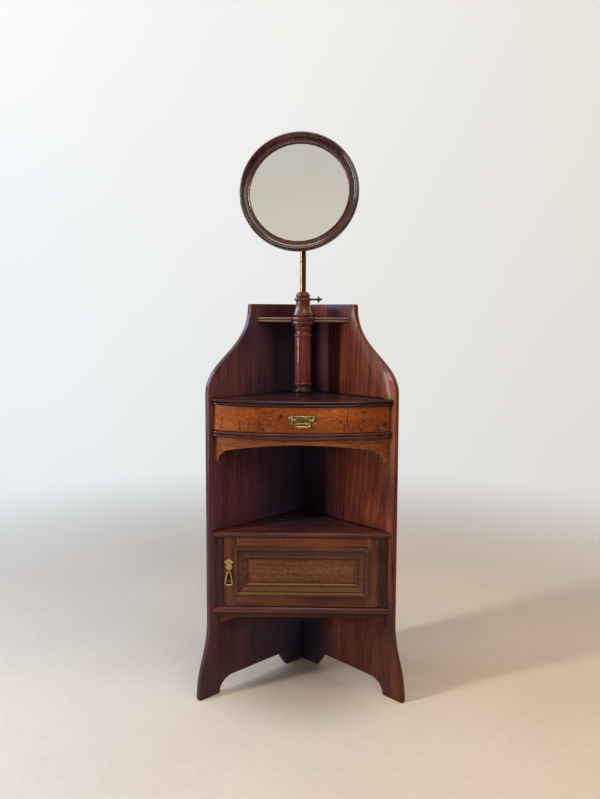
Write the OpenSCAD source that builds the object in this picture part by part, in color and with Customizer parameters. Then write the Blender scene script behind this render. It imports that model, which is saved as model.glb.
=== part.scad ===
// Corner shaving stand: two shaped side boards meet at a right angle and carry
// a bow-fronted drawer, an open shelf, a small cupboard and a turned column.
// A brass rod slides in the column and holds a round mirror that turns and tilts.
//
// X runs to the right, Y to the back corner, Z up from the floor. In plan, a place on
// a side board is given by u, the distance along the board from the back corner, and
// by v, the depth inwards from its outer face.

/* [Side boards] */
// Thickness of the side boards
board_t = 13.5; // [12:0.5:15]
// Height of the side boards
side_h = 1014; // [1010:1:1030]
// Length of a side board where the shelves are
side_w = 342; // [338:1:350]
// Length of a side board just above its foot
side_low_w = 344.5; // [340:0.5:350]
// Length of a side board at its top
side_top_w = 202; // [195:1:210]
// Height at which the upper sweep starts
sweep_z = 790; // [785:1:800]
// Length of a side board at the foot
foot_w = 379.5; // [370:0.5:385]
// Height of the flare of the foot
flare_h = 205; // [180:5:215]
// Height of the arch under a side board
arch_h = 38; // [30:1:45]
// Radius of the front top corner of a side board
top_corner_r = 4; // [2:1:6]
// Depth of the housing that holds a shelf's edge
housing_d = 4; // [3:0.5:5]

/* [Bow front] */
// Distance from the back corner to the middle of the drawer front
bow_y = 287; // [284:1:290]
// Radius of the bow in plan
bow_r = 559; // [540:1:600]

/* [Shelves] */
// Height of the upper face of the drawer top
drawer_top_z = 779; // [778:1:780]
// Thickness of the drawer top
drawer_top_t = 15; // [13:1:15]
// Height of the upper face of the board under the drawer
drawer_bed_z = 698; // [696:1:698]
// Thickness of the board under the drawer
drawer_bed_t = 14.5; // [13:0.5:15]
// Height of the upper face of the cupboard top
cupboard_top_z = 439.5; // [438:0.5:441]
// Thickness of the cupboard top
cupboard_top_t = 14.5; // [13:0.5:16]
// Height of the upper face of the cupboard floor
floor_z = 240; // [238:1:242]
// Thickness of the cupboard floor
floor_t = 16; // [14:1:18]
// Height of the upper face of the small shelf at the column
collar_z = 980; // [978:1:982]
// Thickness of the small shelf at the column
collar_t = 12.6; // [12:0.2:13]

/* [Cupboard] */
// Distance from the back corner to the cupboard's front plane
front_y = 241; // [239:1:242]
// How far the boards' noses stand in front of that plane
nose_out = 6; // [4:1:7]
// Half the width of the door
door_half_w = 198; // [195:1:200]
// Thickness of the door and of the posts beside it
door_t = 18; // [17:0.5:20]
// Width of the door's stiles and rails
frame_w = 32; // [30:1:34]
// Width of the door's moulding
moulding_w = 34.5; // [32:0.5:36]
// How far the moulding stands proud of the door
moulding_out = 4.5; // [3:0.5:5]

/* [Drawer] */
// Gap round the drawer front
drawer_gap = 1.2; // [0.8:0.1:1.5]
// Thickness of the drawer front
drawer_front_t = 20; // [18:1:22]
// Thickness of the drawer's sides and back
lining_t = 9; // [8:0.5:10]
// Distance from the back corner to the back of the drawer
drawer_back_y = 72; // [70:1:80]
// Middle of the drawer handle to the right of the drawer's middle
handle_x = 3; // [-4:0.5:4]

/* [Column and rod] */
// Distance from the back corner to the column's axis
column_y = 145; // [143:1:147]
// Radius of the column's shaft
shaft_r = 20.9; // [20:0.1:22]
// Height of the column's top
column_top_z = 1044.6; // [1043:0.2:1046]
// Radius of the brass rod
rod_r = 8; // [7.5:0.1:8.2]
// Length of rod inside the column as shown
rod_in = 190; // [180:1:190]
// Height of the mirror's pivot as shown
pivot_z = 1285.5; // [1280:0.5:1300]

/* [Mirror] */
// Outer radius of the mirror frame
mirror_r = 149.5; // [148:0.5:154]
// Radius of the glass that shows
sight_r = 123.4; // [122:0.1:127]
// Thickness of the mirror frame
mirror_t = 24.7; // [24:0.1:26]
// Distance from the pivot to the front of the frame
mirror_out = 50; // [49:0.5:54]
// How far the mirror's middle stands to the left of its pivot
mirror_shift = 7; // [0:0.5:10]
// How far the mirror is turned about the rod, in degrees
mirror_turn = -5; // [-20:1:20]
// How far the mirror faces up, in degrees
mirror_tilt = 9; // [0:1:15]

/* [Hidden] */
$fn = 96;

half = sqrt(0.5);
cut = 0.01;                     // how far a cutter runs past a face

mahogany = "#5a2416";
mahogany_lit = "#7a3a20";
walnut_gold = "#8a5a30";
burr = "#9c5a24";
pine = "#b08a5c";
brass = "#b8903c";
steel = "#5c5850";

// The balls of the handle's posts stand furthest forward; the origin is midway in depth
// between them and the back corner
bow_centre = bow_r - bow_y;
post_gap = 50;
post_out = 15.5;
post_ball_r = 4.6;
near_post_x = post_gap / 2 - abs(handle_x);
front_reach = (bow_r + post_out) * cos(asin(near_post_x / bow_r)) + post_ball_r - bow_centre;
corner_y = front_reach / 2;

// ---------- curves ----------

// Points along an ellipse's arc about [x, y]
function arc(x, y, rx, ry, a0, a1, n = 10) =
    [for (i = [0:n]) let (a = a0 + (a1 - a0) * i / n) [x + rx * cos(a), y + ry * sin(a)]];

// Points along a cubic curve from p0 to p3
function cubic(p0, p1, p2, p3, n = 28) =
    [for (i = [0:n]) let (t = i / n, s = 1 - t)
        s * s * s * p0 + 3 * s * s * t * p1 + 3 * s * t * t * p2 + t * t * t * p3];

// A turned bead: a half round between two heights, standing out from radius r
function bead(r, z0, z1, out, n = 8) =
    arc(r, (z0 + z1) / 2, out, (z1 - z0) / 2, -90, 90, n);

// A turned hollow between two heights, cut in from radius r
function hollow(r, z0, z1, deep, n = 8) =
    arc(r, (z0 + z1) / 2, -deep, (z1 - z0) / 2, -90, 90, n);

// ---------- the corner in plan ----------

// Plan point on the right board at u along it and v in from its outer face
function on_wall(u, v) = [(u - v) * half, -(u + v) * half];
function mirrored(p) = [-p[0], p[1]];

// Half the clear width between the boards at distance y from the back corner
function clear_half(y, v = board_t) = y - v * sqrt(2);

// Brings a shape made with the back corner at the origin to its place
module from_corner() {
    translate([0, corner_y, 0]) children();
}

// The right-hand place for a flat outline drawn in u and z
module on_right_wall() {
    rotate([0, 0, -45]) rotate([90, 0, 0]) linear_extrude(board_t) children();
}

// Plan of the space between the boards, v in from their outer faces, out to y
module corner_plan(y, v = board_t) {
    polygon([[0, -v * sqrt(2)],
        [clear_half(y, v), -y],
        [-clear_half(y, v), -y]]);
}

// The grooves, and the shelf edges in them, that run from the corner to u
module housing(z, t, u) {
    v = board_t - housing_d;
    translate([0, 0, z - t])
        linear_extrude(t)
            polygon([[0, -v * sqrt(2)], on_wall(u, v), on_wall(u, board_t),
                mirrored(on_wall(u, board_t)), mirrored(on_wall(u, v))]);
}

// A board whose front follows the bow: its edge profile is turned about the bow's centre
module bowed_board(z, t, profile, r, centre_y, u_stop) {
    intersection() {
        translate([0, centre_y, z - t])
            rotate_extrude($fn = 720)
                polygon(concat([[1, 0]], [for (p = profile) [r + p[0], p[1]]], [[1, t]]));
        translate([0, 0, z - t - 1]) linear_extrude(t + 2) corner_plan(r);
    }
    housing(z, t, u_stop);
}

// A board with a straight front: its edge profile runs across it
module straight_board(z, t, profile, y, u_stop) {
    intersection() {
        translate([-side_w, 0, z - t])
            rotate([90, 0, 90])
                linear_extrude(2 * side_w)
                    polygon(concat([[0, 0]], [for (p = profile) [-y - p[0], p[1]]], [[0, t]]));
        translate([0, 0, z - t - 1]) linear_extrude(t + 2) corner_plan(y + 1);
    }
    housing(z, t, u_stop);
}

// ---------- side boards ----------

big_housing_u = 300;
collar_housing_u = 165;

module all_housings() {
    housing(drawer_top_z, drawer_top_t, big_housing_u);
    housing(drawer_bed_z, drawer_bed_t, big_housing_u);
    housing(cupboard_top_z, cupboard_top_t, big_housing_u);
    housing(floor_z, floor_t, big_housing_u);
    housing(collar_z, collar_t, collar_housing_u);
}

// The front edge sweeps in at the top and flares out at the foot; the lower edge is
// cut away to leave a foot at the front and one at the back corner
back_foot_w = 74;
back_slant = 26;
front_foot_w = 64.5;
toe_r = 3;

function side_outline(u0) =
    let (flare = foot_w - side_low_w,
        flare_r = (flare_h * flare_h + flare * flare) / (4 * flare),
        flare_a = asin(flare_h / (2 * flare_r)),
        arch_u = foot_w - front_foot_w - 44.5)
    concat(
        [[u0, 0], [back_foot_w, 0], [back_foot_w + back_slant - 2, arch_h - 3]],
        arc(back_foot_w + back_slant + 3, arch_h - 4, 5, 5, 160, 90, 4),
        arc(arch_u, 0, 44.5, arch_h + 0.5, 90, 0, 14),
        arc(foot_w - toe_r, toe_r, toe_r, toe_r, -90, 0, 4),
        arc(foot_w - flare_r, 0, flare_r, flare_r, 1, flare_a, 10),
        arc(side_low_w + flare_r, flare_h, flare_r, flare_r, 180 + flare_a, 180, 10),
        cubic([side_w, sweep_z], [side_w, sweep_z + 89], [side_top_w, side_h - 121],
            [side_top_w, side_h - top_corner_r]),
        arc(side_top_w - top_corner_r, side_h - top_corner_r, top_corner_r, top_corner_r,
            10, 90, 4),
        [[u0, side_h]]);

module left_side() {
    color(mahogany) from_corner()
        difference() {
            mirror([1, 0, 0]) on_right_wall() polygon(side_outline(0));
            all_housings();
        }
}

// The right board butts against the inner face of the left one
module right_side() {
    color(mahogany_lit) from_corner()
        difference() {
            on_right_wall() polygon(side_outline(board_t));
            all_housings();
        }
}

// ---------- shelves ----------

// Edge profiles run from the lower face to the upper face; 0 is the nose's furthest reach
function reeded(t, out) = let (m = t / 2) concat(
    bead(-out, 0, m - 0.4, out, 8), bead(-out, m + 0.4, t, out, 8));
function stepped_nose(t, out) = concat(
    [[-3.5, 0], [-3.5, 0.8]], bead(-4, 0.8, t * 0.42, 3, 6),
    [[-5, t * 0.46]], bead(-out, t * 0.46, t, out, 10));
function thumb_nose(t, deep) = concat(
    [[-3, 0], [-3, 1]], arc(-2.4, 3.4, 2.4, 2.4, -90, 0, 5),
    arc(-deep, t * 0.52, deep, t * 0.48, 0, 90, 12));

tenon_r = 12;
tenon_h = 11;

module drawer_top() {
    color(mahogany_lit) from_corner()
        difference() {
            bowed_board(drawer_top_z, drawer_top_t, stepped_nose(drawer_top_t, 5.5),
                bow_r + 7, bow_centre, big_housing_u);
            translate([0, -column_y, drawer_top_z - tenon_h]) cylinder(r = tenon_r, h = tenon_h + 1);
        }
}

module drawer_bed() {
    color(mahogany) from_corner()
        bowed_board(drawer_bed_z, drawer_bed_t, reeded(drawer_bed_t, 3.4),
            bow_r + 5, bow_centre, big_housing_u);
}

module cupboard_top() {
    color(mahogany) from_corner()
        straight_board(cupboard_top_z, cupboard_top_t, thumb_nose(cupboard_top_t, 13),
            front_y + nose_out, big_housing_u);
}

module cupboard_floor() {
    color(mahogany) from_corner()
        straight_board(floor_z, floor_t, thumb_nose(floor_t, 6),
            front_y + nose_out, big_housing_u);
}

boss_r = 28.5;
boss_top_z = collar_z + 1.3;
boss_low_z = collar_z - collar_t - 7;
spigot_r = 13;
collar_bow_y = 150;
collar_bow_r = 850;

// The small shelf is notched at the middle of its front for the round boss
module collar_shelf() {
    color(mahogany_lit) from_corner()
        difference() {
            bowed_board(collar_z, collar_t, reeded(collar_t, 3),
                collar_bow_r, collar_bow_r - collar_bow_y, collar_housing_u);
            translate([0, -column_y, boss_low_z - 1]) cylinder(r = boss_r, h = 30);
        }
}

// A turned ring with two beads, between the lower and the upper part of the column
module collar_boss() {
    h = boss_top_z - boss_low_z;
    color(mahogany_lit) from_corner()
        translate([0, -column_y, boss_low_z])
            rotate_extrude()
                polygon(concat([[spigot_r, 0]], [[boss_r - 4.5, 0], [boss_r - 4.5, 0.6]],
                    bead(boss_r - 3.4, 0.8, h * 0.47, 3.4, 8),
                    bead(boss_r - 3, h * 0.51, h, 3, 8), [[spigot_r, h]]));
}

// ---------- aprons ----------

apron_t = 12;
apron_back = 3;                 // how far the upper apron stands back from the drawer front
apron_tip_z = 619;
apron_mid_z = 669;
apron_arch_r = 920;

// Lower edge of an apron on one side of its middle, as a bracket that turns down
// into a tip; x is where the tip starts
function bracket(x, tip_z, deep, arch_z, arch_r, s) =
    let (x1 = x - 30, z1 = arch_z - x1 * x1 / (2 * arch_r))
    concat([[s * x, tip_z]],
        [for (p = cubic([x, tip_z + 3], [x - 4, tip_z + deep * 0.65],
            [x1 + 12, z1 - deep * 0.06], [x1, z1], 10)) [s * p[0], p[1]]]);

module upper_apron() {
    r = bow_r - apron_back;
    top_z = drawer_bed_z - drawer_bed_t;
    left_tip_x = 211.5;
    right_tip_x = 204.5;
    left = bracket(left_tip_x, apron_tip_z, 30, apron_mid_z, apron_arch_r, -1);
    right = bracket(right_tip_x, apron_tip_z, 30, apron_mid_z, apron_arch_r, 1);
    color(burr) from_corner()
        intersection() {
            translate([0, bow_centre, apron_tip_z])
                difference() {
                    cylinder(r = r, h = top_z - apron_tip_z, $fn = 720);
                    translate([0, 0, -1]) cylinder(r = r - apron_t, h = 100, $fn = 720);
                }
            translate([0, 0, apron_tip_z - 1]) linear_extrude(100) corner_plan(r);
            rotate([90, 0, 0])
                linear_extrude(r)
                    polygon(concat([[-side_w, apron_tip_z]], left,
                        [for (x = [-150:30:150]) [x, apron_mid_z - x * x / (2 * apron_arch_r)]],
                        [for (i = [len(right) - 1:-1:0]) right[i]],
                        [[side_w, apron_tip_z], [side_w, top_z], [-side_w, top_z]]));
        }
}

lower_apron_back = 4;
lower_tip_z = 187;
lower_mid_z = 210.5;
lower_left_x = 216;
lower_right_x = 202;

module lower_apron() {
    y0 = front_y - lower_apron_back;
    top_z = floor_z - floor_t;
    left = cubic([-lower_left_x, lower_tip_z], [-lower_left_x + 9, lower_tip_z + 4],
        [-lower_left_x + 31, lower_mid_z], [-lower_left_x + 59, lower_mid_z], 10);
    right = cubic([lower_right_x - 39, lower_mid_z], [lower_right_x - 18, lower_mid_z],
        [lower_right_x - 4, lower_tip_z + 9], [lower_right_x, lower_tip_z], 10);
    color(mahogany_lit) from_corner()
        intersection() {
            translate([0, 0, lower_tip_z - 1]) linear_extrude(60) corner_plan(y0);
            translate([0, -y0 + apron_t, 0])
                rotate([90, 0, 0])
                    linear_extrude(apron_t)
                        polygon(concat([[-side_w, lower_tip_z]], left, right,
                            [[side_w, lower_tip_z], [side_w, top_z], [-side_w, top_z]]));
        }
}

// Glue blocks behind the lower apron
module apron_blocks() {
    block = 12;
    color(pine) from_corner()
        for (x = [-120, 0, 120])
            translate([x - 20, -front_y + lower_apron_back + apron_t, floor_z - floor_t - block])
                difference() {
                    cube([40, block, block]);
                    translate([-1, block, 0])
                        rotate([45, 0, 0]) translate([0, -block / 2, -block])
                            cube([42, 2 * block, block]);
                }
}

// ---------- drawer housing pieces ----------

guide_w = 20;
guide_h = 6;
guide_front_y = bow_y - drawer_front_t - 6;

module drawer_guide() {
    color(pine) from_corner()
        translate([-guide_w / 2, -guide_front_y, drawer_bed_z])
            cube([guide_w, guide_front_y - 60, guide_h]);
}

module drawer_stops() {
    w = 24;
    r = bow_r - drawer_front_t - 0.4;
    color(pine) from_corner()
        for (x = [-45, 45])
            intersection() {
                translate([x - w / 2, -bow_y, drawer_bed_z]) cube([w, 44, 5]);
                translate([0, bow_centre, drawer_bed_z])
                    difference() {
                        cylinder(r = r, h = 5, $fn = 720);
                        translate([0, 0, -1]) cylinder(r = r - 12, h = 7, $fn = 720);
                    }
            }
}

// ---------- cupboard front ----------

door_gap = 1;
door_z0 = floor_z + 1.2;
door_z1 = cupboard_top_z - cupboard_top_t - 1.2;
post_x = door_half_w + door_gap;
hinge_h = 30;
hinge_z = [floor_z + 27, door_z1 - 59];
leaf_t = 1.4;
leaf_w = 13;
knuckle_r = 2.6;
pin_r = 1.3;
hinge_x = door_half_w + door_gap / 2;
hinge_y = front_y + knuckle_r + 0.2;
lock_x = 185.5;
lock_z = 306;
bolt_h = 9;
bolt_t = 4;
bolt_y = front_y - door_t + 5.5;
keep_t = 1;

// Plan of the post beside the door, against the side board
module post_plan() {
    back = front_y - door_t;
    polygon([[post_x, -front_y], [clear_half(front_y), -front_y],
        [clear_half(back), -back], [post_x, -back]]);
}

module post_body() {
    translate([0, 0, floor_z])
        linear_extrude(cupboard_top_z - cupboard_top_t - floor_z) post_plan();
}

module left_post() {
    color(mahogany) from_corner()
        difference() {
            mirror([1, 0, 0]) post_body();
            translate([-post_x - 7, -bolt_y - bolt_t / 2 - 0.5, lock_z - bolt_h / 2 - 0.5])
                cube([8, bolt_t + 1, bolt_h + 1]);
            keep_recess();
        }
}

module keep_recess() {
    translate([-post_x - keep_t, -bolt_y - 4, lock_z - 14]) cube([keep_t + cut, 8, 28]);
}

module right_post() {
    color(mahogany) from_corner()
        difference() {
            post_body();
            for (z = hinge_z)
                translate([post_x - cut, -front_y - cut, z])
                    cube([leaf_t + cut, leaf_w + cut, hinge_h]);
            for (z = hinge_z) leaf_holes(z, post_x, 1) screw_core();
        }
}

module lock_keep() {
    color(brass) from_corner()
        difference() {
            translate([-post_x - keep_t, -bolt_y - 4, lock_z - 14]) cube([keep_t, 8, 28]);
            translate([-post_x - keep_t - 1, -bolt_y - bolt_t / 2 - 0.3, lock_z - bolt_h / 2 - 0.3])
                cube([keep_t + 2, bolt_t + 0.6, bolt_h + 0.6]);
        }
}

// A small strip under the cupboard top, which the closed door meets
module door_stop() {
    color(pine) from_corner()
        translate([-30, -front_y + door_t + 0.4, cupboard_top_z - cupboard_top_t - 8])
            cube([60, 10, 8]);
}

// ---------- hinges ----------

screw_r = 1.6;
screw_l = 9;

// The solid space of a countersunk wood screw, its head at the origin, driven along +X
module screw_core(r = screw_r, l = screw_l) {
    rotate([0, 90, 0]) {
        cylinder(r1 = 2 * r, r2 = r, h = r, $fn = 32);
        translate([0, 0, r - 0.2]) cylinder(r = r, h = l - r - 1.8, $fn = 32);
        translate([0, 0, l - 2.2]) cylinder(r1 = r, r2 = 0.3, h = 2.2, $fn = 32);
    }
}

// A screw with its slot
module wood_screw(r = screw_r, l = screw_l) {
    difference() {
        screw_core(r, l);
        translate([-cut, -2 * r - 1, -0.35]) cube([0.7, 4 * r + 2, 0.7]);
    }
}

// Places two screws in a leaf; s is 1 for the post and -1 for the door
module leaf_holes(z, x, s) {
    for (dz = [6, hinge_h - 6])
        translate([x, -front_y + leaf_w / 2 + 1, z + dz])
            scale_x(s) children();
}

module scale_x(s) {
    if (s > 0) children();
    else mirror([1, 0, 0]) children();
}

// One leaf: a plate and the knuckles between the given heights
module leaf(x0, spans) {
    difference() {
        union() {
            translate([x0, -front_y + 0.3, 0]) cube([leaf_t, leaf_w - 0.3, hinge_h]);
            for (s = spans) {
                translate([hinge_x, -hinge_y, s[0]]) cylinder(r = knuckle_r, h = s[1] - s[0], $fn = 48);
                translate([x0, -hinge_y, s[0]])
                    cube([leaf_t, hinge_y - front_y + 0.31, s[1] - s[0]]);
            }
        }
        children();
    }
}

knuckle_cuts = [0, 9.2, hinge_h - 9.2, hinge_h];

module fixed_hinge_leaves() {
    color(brass) from_corner()
        for (z = hinge_z)
            difference() {
                translate([0, 0, z])
                    leaf(post_x, [[knuckle_cuts[0], knuckle_cuts[1]], [knuckle_cuts[2], knuckle_cuts[3]]])
                        translate([hinge_x, -hinge_y, -1]) cylinder(r = pin_r, h = hinge_h + 2, $fn = 48);
                leaf_holes(z, post_x, 1) screw_core();
            }
}

module moving_hinge_leaves() {
    color(brass) from_corner()
        for (z = hinge_z)
            difference() {
                translate([0, 0, z])
                    leaf(door_half_w - leaf_t, [[knuckle_cuts[1] + 0.3, knuckle_cuts[2] - 0.3]])
                        translate([hinge_x, -hinge_y, -1])
                            cylinder(r = pin_r + 0.05, h = hinge_h + 2, $fn = 48);
                leaf_holes(z, door_half_w, -1) screw_core();
            }
}

module hinge_pins() {
    color(steel) from_corner()
        for (z = hinge_z)
            translate([hinge_x, -hinge_y, z]) cylinder(r = pin_r, h = hinge_h, $fn = 48);
}

module fixed_hinge_screws() {
    color(brass) from_corner()
        for (z = hinge_z) leaf_holes(z, post_x, 1) wood_screw();
}

module moving_hinge_screws() {
    color(brass) from_corner()
        for (z = hinge_z) leaf_holes(z, door_half_w, -1) wood_screw();
}

// ---------- column ----------

// The turned column below the small shelf, from its tenon up
function lower_profile() = concat(
    [[0, -tenon_h], [tenon_r, -tenon_h], [tenon_r, 0], [25, 0], [25, 5], [24, 5.6], [24, 6.6]],
    bead(23.2, 6.8, 16.2, 3.1, 10),
    [[22.6, 16.6], [22.6, 17.8]],
    hollow(22.4, 18.2, 25.6, 2.2, 8),
    [[21.8, 26.4]],
    bead(21.4, 26.8, 32, 2.2, 8),
    [[shaft_r, 33], [shaft_r, 151]],
    bead(21.2, 152, 158, 2.2, 8),
    [[20.6, 158.6]],
    hollow(20.8, 159, 170.4, 1.2, 8),
    bead(20.9, 171, 176.4, 1.8, 8),
    [[21.2, 176.8], [21.2, 177.8]],
    [[23.4, 179.6], [23.4, boss_low_z - drawer_top_z],
    [spigot_r, boss_low_z - drawer_top_z], [spigot_r, boss_top_z - drawer_top_z],
    [0, boss_top_z - drawer_top_z]]);

// The turned cap above the small shelf
function upper_profile() = let (h = column_top_z - boss_top_z) concat(
    [[0, 0], [23.6, 0], [23.6, 1]],
    bead(23.8, 1.4, 8.2, 2.3, 8),
    cubic([24.6, 8.8], [23, 13.5], [19.4, 18], [18.6, 30], 10),
    [[18.4, h - 23.4], [19.6, h - 22.8]],
    bead(19.8, h - 22.2, h - 14.6, 2.9, 10),
    [[19.2, h - 14]],
    arc(15.2, h - 8.6, 3.4, 4.6, -70, 90, 8),
    [[14.6, h - 3.6], [14.6, h - 3]],
    arc(12.6, h - 3, 2.2, 3, 0, 90, 6),
    [[0, h]]);

bore_r = rod_r + 0.1;
bore_low = 8;
bush_r = 10.5;
bush_h = 44;
thumb_z = 1026;
thumb_r = 2.6;

module column_lower() {
    color(mahogany_lit) from_corner()
        translate([0, -column_y, drawer_top_z])
            difference() {
                rotate_extrude() polygon(lower_profile());
                translate([0, 0, bore_low])
                    cylinder(r = bore_r, h = boss_top_z - drawer_top_z);
            }
}

module column_upper() {
    color(mahogany_lit) from_corner()
        translate([0, -column_y, 0])
            difference() {
                translate([0, 0, boss_top_z]) rotate_extrude() polygon(upper_profile());
                translate([0, 0, boss_top_z - 1]) cylinder(r = bore_r, h = 100);
                translate([0, 0, column_top_z - bush_h]) cylinder(r = bush_r, h = bush_h + 1);
                translate([0, 0, thumb_z]) rotate([0, 90, 0]) cylinder(r = thumb_r + 0.4, h = 40);
            }
}

module rod_bush() {
    color(brass) from_corner()
        translate([0, -column_y, 0])
            difference() {
                translate([0, 0, column_top_z - bush_h]) cylinder(r = bush_r, h = bush_h);
                translate([0, 0, column_top_z - bush_h - 1])
                    cylinder(r = rod_r + 0.08, h = bush_h + 2);
                translate([0, 0, thumb_z]) rotate([0, 90, 0])
                    cylinder(r = thumb_r + 0.05, h = 40, $fn = 48);
            }
}

module thumbscrew() {
    head_x = 38;
    color(steel) from_corner()
        translate([rod_r + 0.3, -column_y, thumb_z])
            rotate([0, 90, 0])
                rotate_extrude($fn = 64)
                    polygon(concat([[0, 0], [thumb_r - 0.8, 0], [thumb_r, 0.8],
                        [thumb_r, head_x - 10], [3.6, head_x - 9.4], [3.6, head_x - 8.4]],
                        bead(7.6, head_x - 8, head_x - 4.6, 1.6, 6),
                        [[4.6, head_x - 4]],
                        [[3.4, head_x - 1.6], [1.6, head_x + 2.2], [0.8, head_x + 4.2],
                        [0, head_x + 4.6]]));
}

// ---------- rod and its head ----------

rod_top_z = pivot_z - 26;
spigot_top = 12;
neck_r = 5;
cheek_r = 10;
cheek_t = 4.2;
eye_t = 8.6;
fork_gap = 9.2;
pivot_pin_r = 3;

module at_pivot() {
    translate([0, -column_y, pivot_z]) rotate([0, 0, mirror_turn]) children();
}

module rod() {
    color(brass) from_corner()
        translate([0, -column_y, 0]) {
            translate([0, 0, column_top_z - rod_in])
                cylinder(r = rod_r, h = rod_top_z - column_top_z + rod_in);
            translate([0, 0, rod_top_z - cut]) cylinder(r = neck_r, h = spigot_top + cut, $fn = 48);
        }
}

// A turned socket with two cheeks that take the mirror's eye between them
module rod_head() {
    low = rod_top_z - pivot_z + 0.3;
    color(brass) from_corner() at_pivot()
        difference() {
            union() {
                translate([0, 0, low])
                    rotate_extrude($fn = 64)
                        polygon(concat([[0, 0], [9, 0]], bead(9, 0.4, 3.4, 1.4, 6),
                            hollow(9.6, 3.8, 8, 1.2, 6), [[10, 8.6], [10, 14.2], [0, 14.2]]));
                for (s = [-1, 1])
                    translate([s * (fork_gap / 2 + cheek_t / 2), 0, 0])
                        rotate([0, 90, 0]) {
                            cylinder(r = cheek_r, h = cheek_t, center = true);
                            translate([0, -cheek_r, -cheek_t / 2])
                                cube([12, 2 * cheek_r, cheek_t]);
                        }
            }
            translate([0, 0, low - 1]) cylinder(r = neck_r + 0.06, h = spigot_top + 1.2, $fn = 48);
            rotate([0, 90, 0]) cylinder(r = pivot_pin_r, h = 40, center = true, $fn = 48);
            translate([-fork_gap / 2, -cheek_r - 1, low + 14.2]) cube([fork_gap, 2 * cheek_r + 2, 40]);
        }
}

// The pin through the fork, with a slotted head on one side and a round nut on the other
module pivot_screw() {
    side = fork_gap / 2 + cheek_t;
    color(steel) from_corner() at_pivot()
        rotate([0, 90, 0])
            difference() {
                translate([0, 0, -side - 4])
                    rotate_extrude($fn = 64)
                        polygon(concat([[0, 0]], arc(0, 3.5, 5.6, 3.5, -70, 0, 5),
                            [[5.6, 4], [pivot_pin_r, 4], [pivot_pin_r, 2 * side + 4],
                            [7, 2 * side + 4], [7.4, 2 * side + 4.6], [7.4, 2 * side + 10],
                            [6.8, 2 * side + 10.6], [3.4, 2 * side + 10.6],
                            [3, 2 * side + 12], [0, 2 * side + 12.4]]));
                translate([-6, -0.5, -side - 5]) cube([12, 1, 2.4]);
            }
}

// ---------- mirror ----------

glass_t = 4;
glass_r = 130;
back_t = 6;
glass_deep = 14.7;
rebate_r = 131;

// Local frame of the mirror: its face looks along -Y, the frame's front is at -mirror_out
module at_mirror() {
    at_pivot() rotate([-mirror_tilt, 0, 0]) children();
}

// Turns a profile of radius and depth, where depth runs back from the front of the frame
module turned_disc(profile) {
    translate([-mirror_shift, -mirror_out, 0])
        rotate([-90, 0, 0]) rotate_extrude($fn = 180) polygon(profile);
}

module mirror_frame() {
    color(mahogany) from_corner() at_mirror()
        turned_disc(concat(
            [[sight_r, glass_deep], [sight_r, 11.4]],
            arc(sight_r + 2.2, 10.6, 2.2, 2.4, 180, 300, 6),
            [[sight_r + 4.6, 9.4]],
            arc(sight_r + 4.8, 2.4, 13.4, 6.8, 90, 8, 10),
            [[sight_r + 18.4, 3.4]],
            arc(mirror_r - 4.2, 4.2, 4.2, 4.2, 200, 360, 12),
            [[mirror_r - 1.2, 6.2], [mirror_r - 1.2, 8]],
            arc(mirror_r - 5, 15, 5, 7, -40, 90, 8),
            [[mirror_r - 9, mirror_t - 1], [mirror_r - 9.6, mirror_t],
            [rebate_r, mirror_t], [rebate_r, glass_deep]]));
}

module mirror_glass() {
    color("#c8ccc8") from_corner() at_mirror()
        turned_disc([[0, glass_deep], [glass_r, glass_deep],
            [glass_r, glass_deep + glass_t], [0, glass_deep + glass_t]]);
}

module mirror_back() {
    color(pine) from_corner() at_mirror()
        difference() {
            turned_disc([[0, glass_deep + glass_t], [rebate_r - 0.5, glass_deep + glass_t],
                [rebate_r - 0.5, glass_deep + glass_t + back_t],
                [0, glass_deep + glass_t + back_t]]);
            flange_screw_places() screw_core(1.6, 7);
        }
}

flange_r = 28;
flange_t = 3;
flange_face = mirror_out - glass_deep - glass_t - back_t - flange_t;

// Four places on the flange, each with its screw driven towards the glass
module flange_screw_places() {
    for (a = [45:90:315])
        translate([20 * sin(a), -flange_face, 20 * cos(a)])
            rotate([0, 0, -90]) children();
}

module mirror_flange() {
    color(brass) from_corner() at_mirror()
        difference() {
            union() {
                rotate([90, 0, 0])
                    translate([0, 0, flange_face])
                        rotate_extrude($fn = 96)
                            polygon([[0, -1.6], [11, -1.6], [12.5, 0], [flange_r - 1, 0], [flange_r, 1],
                                [flange_r, flange_t], [0, flange_t]]);
                translate([-eye_t / 2, -flange_face, -8]) cube([eye_t, flange_face - 2, 16]);
                rotate([0, 90, 0]) cylinder(r = 8, h = eye_t, center = true);
            }
            rotate([0, 90, 0])
                cylinder(r = pivot_pin_r + 0.06, h = 30, center = true, $fn = 48);
            flange_screw_places() screw_core(1.6, 7);
        }
}

module flange_screws() {
    color(brass) from_corner() at_mirror()
        flange_screw_places() wood_screw(1.6, 7);
}

// ---------- drawer ----------

drawer_z0 = drawer_bed_z + drawer_gap;
drawer_z1 = drawer_top_z - drawer_top_t - drawer_gap;
lining_v = board_t + 3;
lining_z0 = drawer_bed_z + 0.5;
lining_z1 = drawer_z1 - 6;
bottom_z = drawer_bed_z + 8;
bottom_t = 5;
handle_z = 732.4;
post_shank_r = 2.5;

module drawer_front() {
    color(burr) from_corner()
        difference() {
            intersection() {
                translate([0, bow_centre, drawer_z0])
                    difference() {
                        cylinder(r = bow_r, h = drawer_z1 - drawer_z0, $fn = 720);
                        translate([0, 0, -1])
                            cylinder(r = bow_r - drawer_front_t, h = 100, $fn = 720);
                    }
                translate([0, 0, drawer_z0 - 1]) linear_extrude(100)
                    corner_plan(bow_r, board_t + drawer_gap);
            }
            post_places() cylinder(r = post_shank_r, h = 60, center = true, $fn = 48);
        }
}

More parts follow.
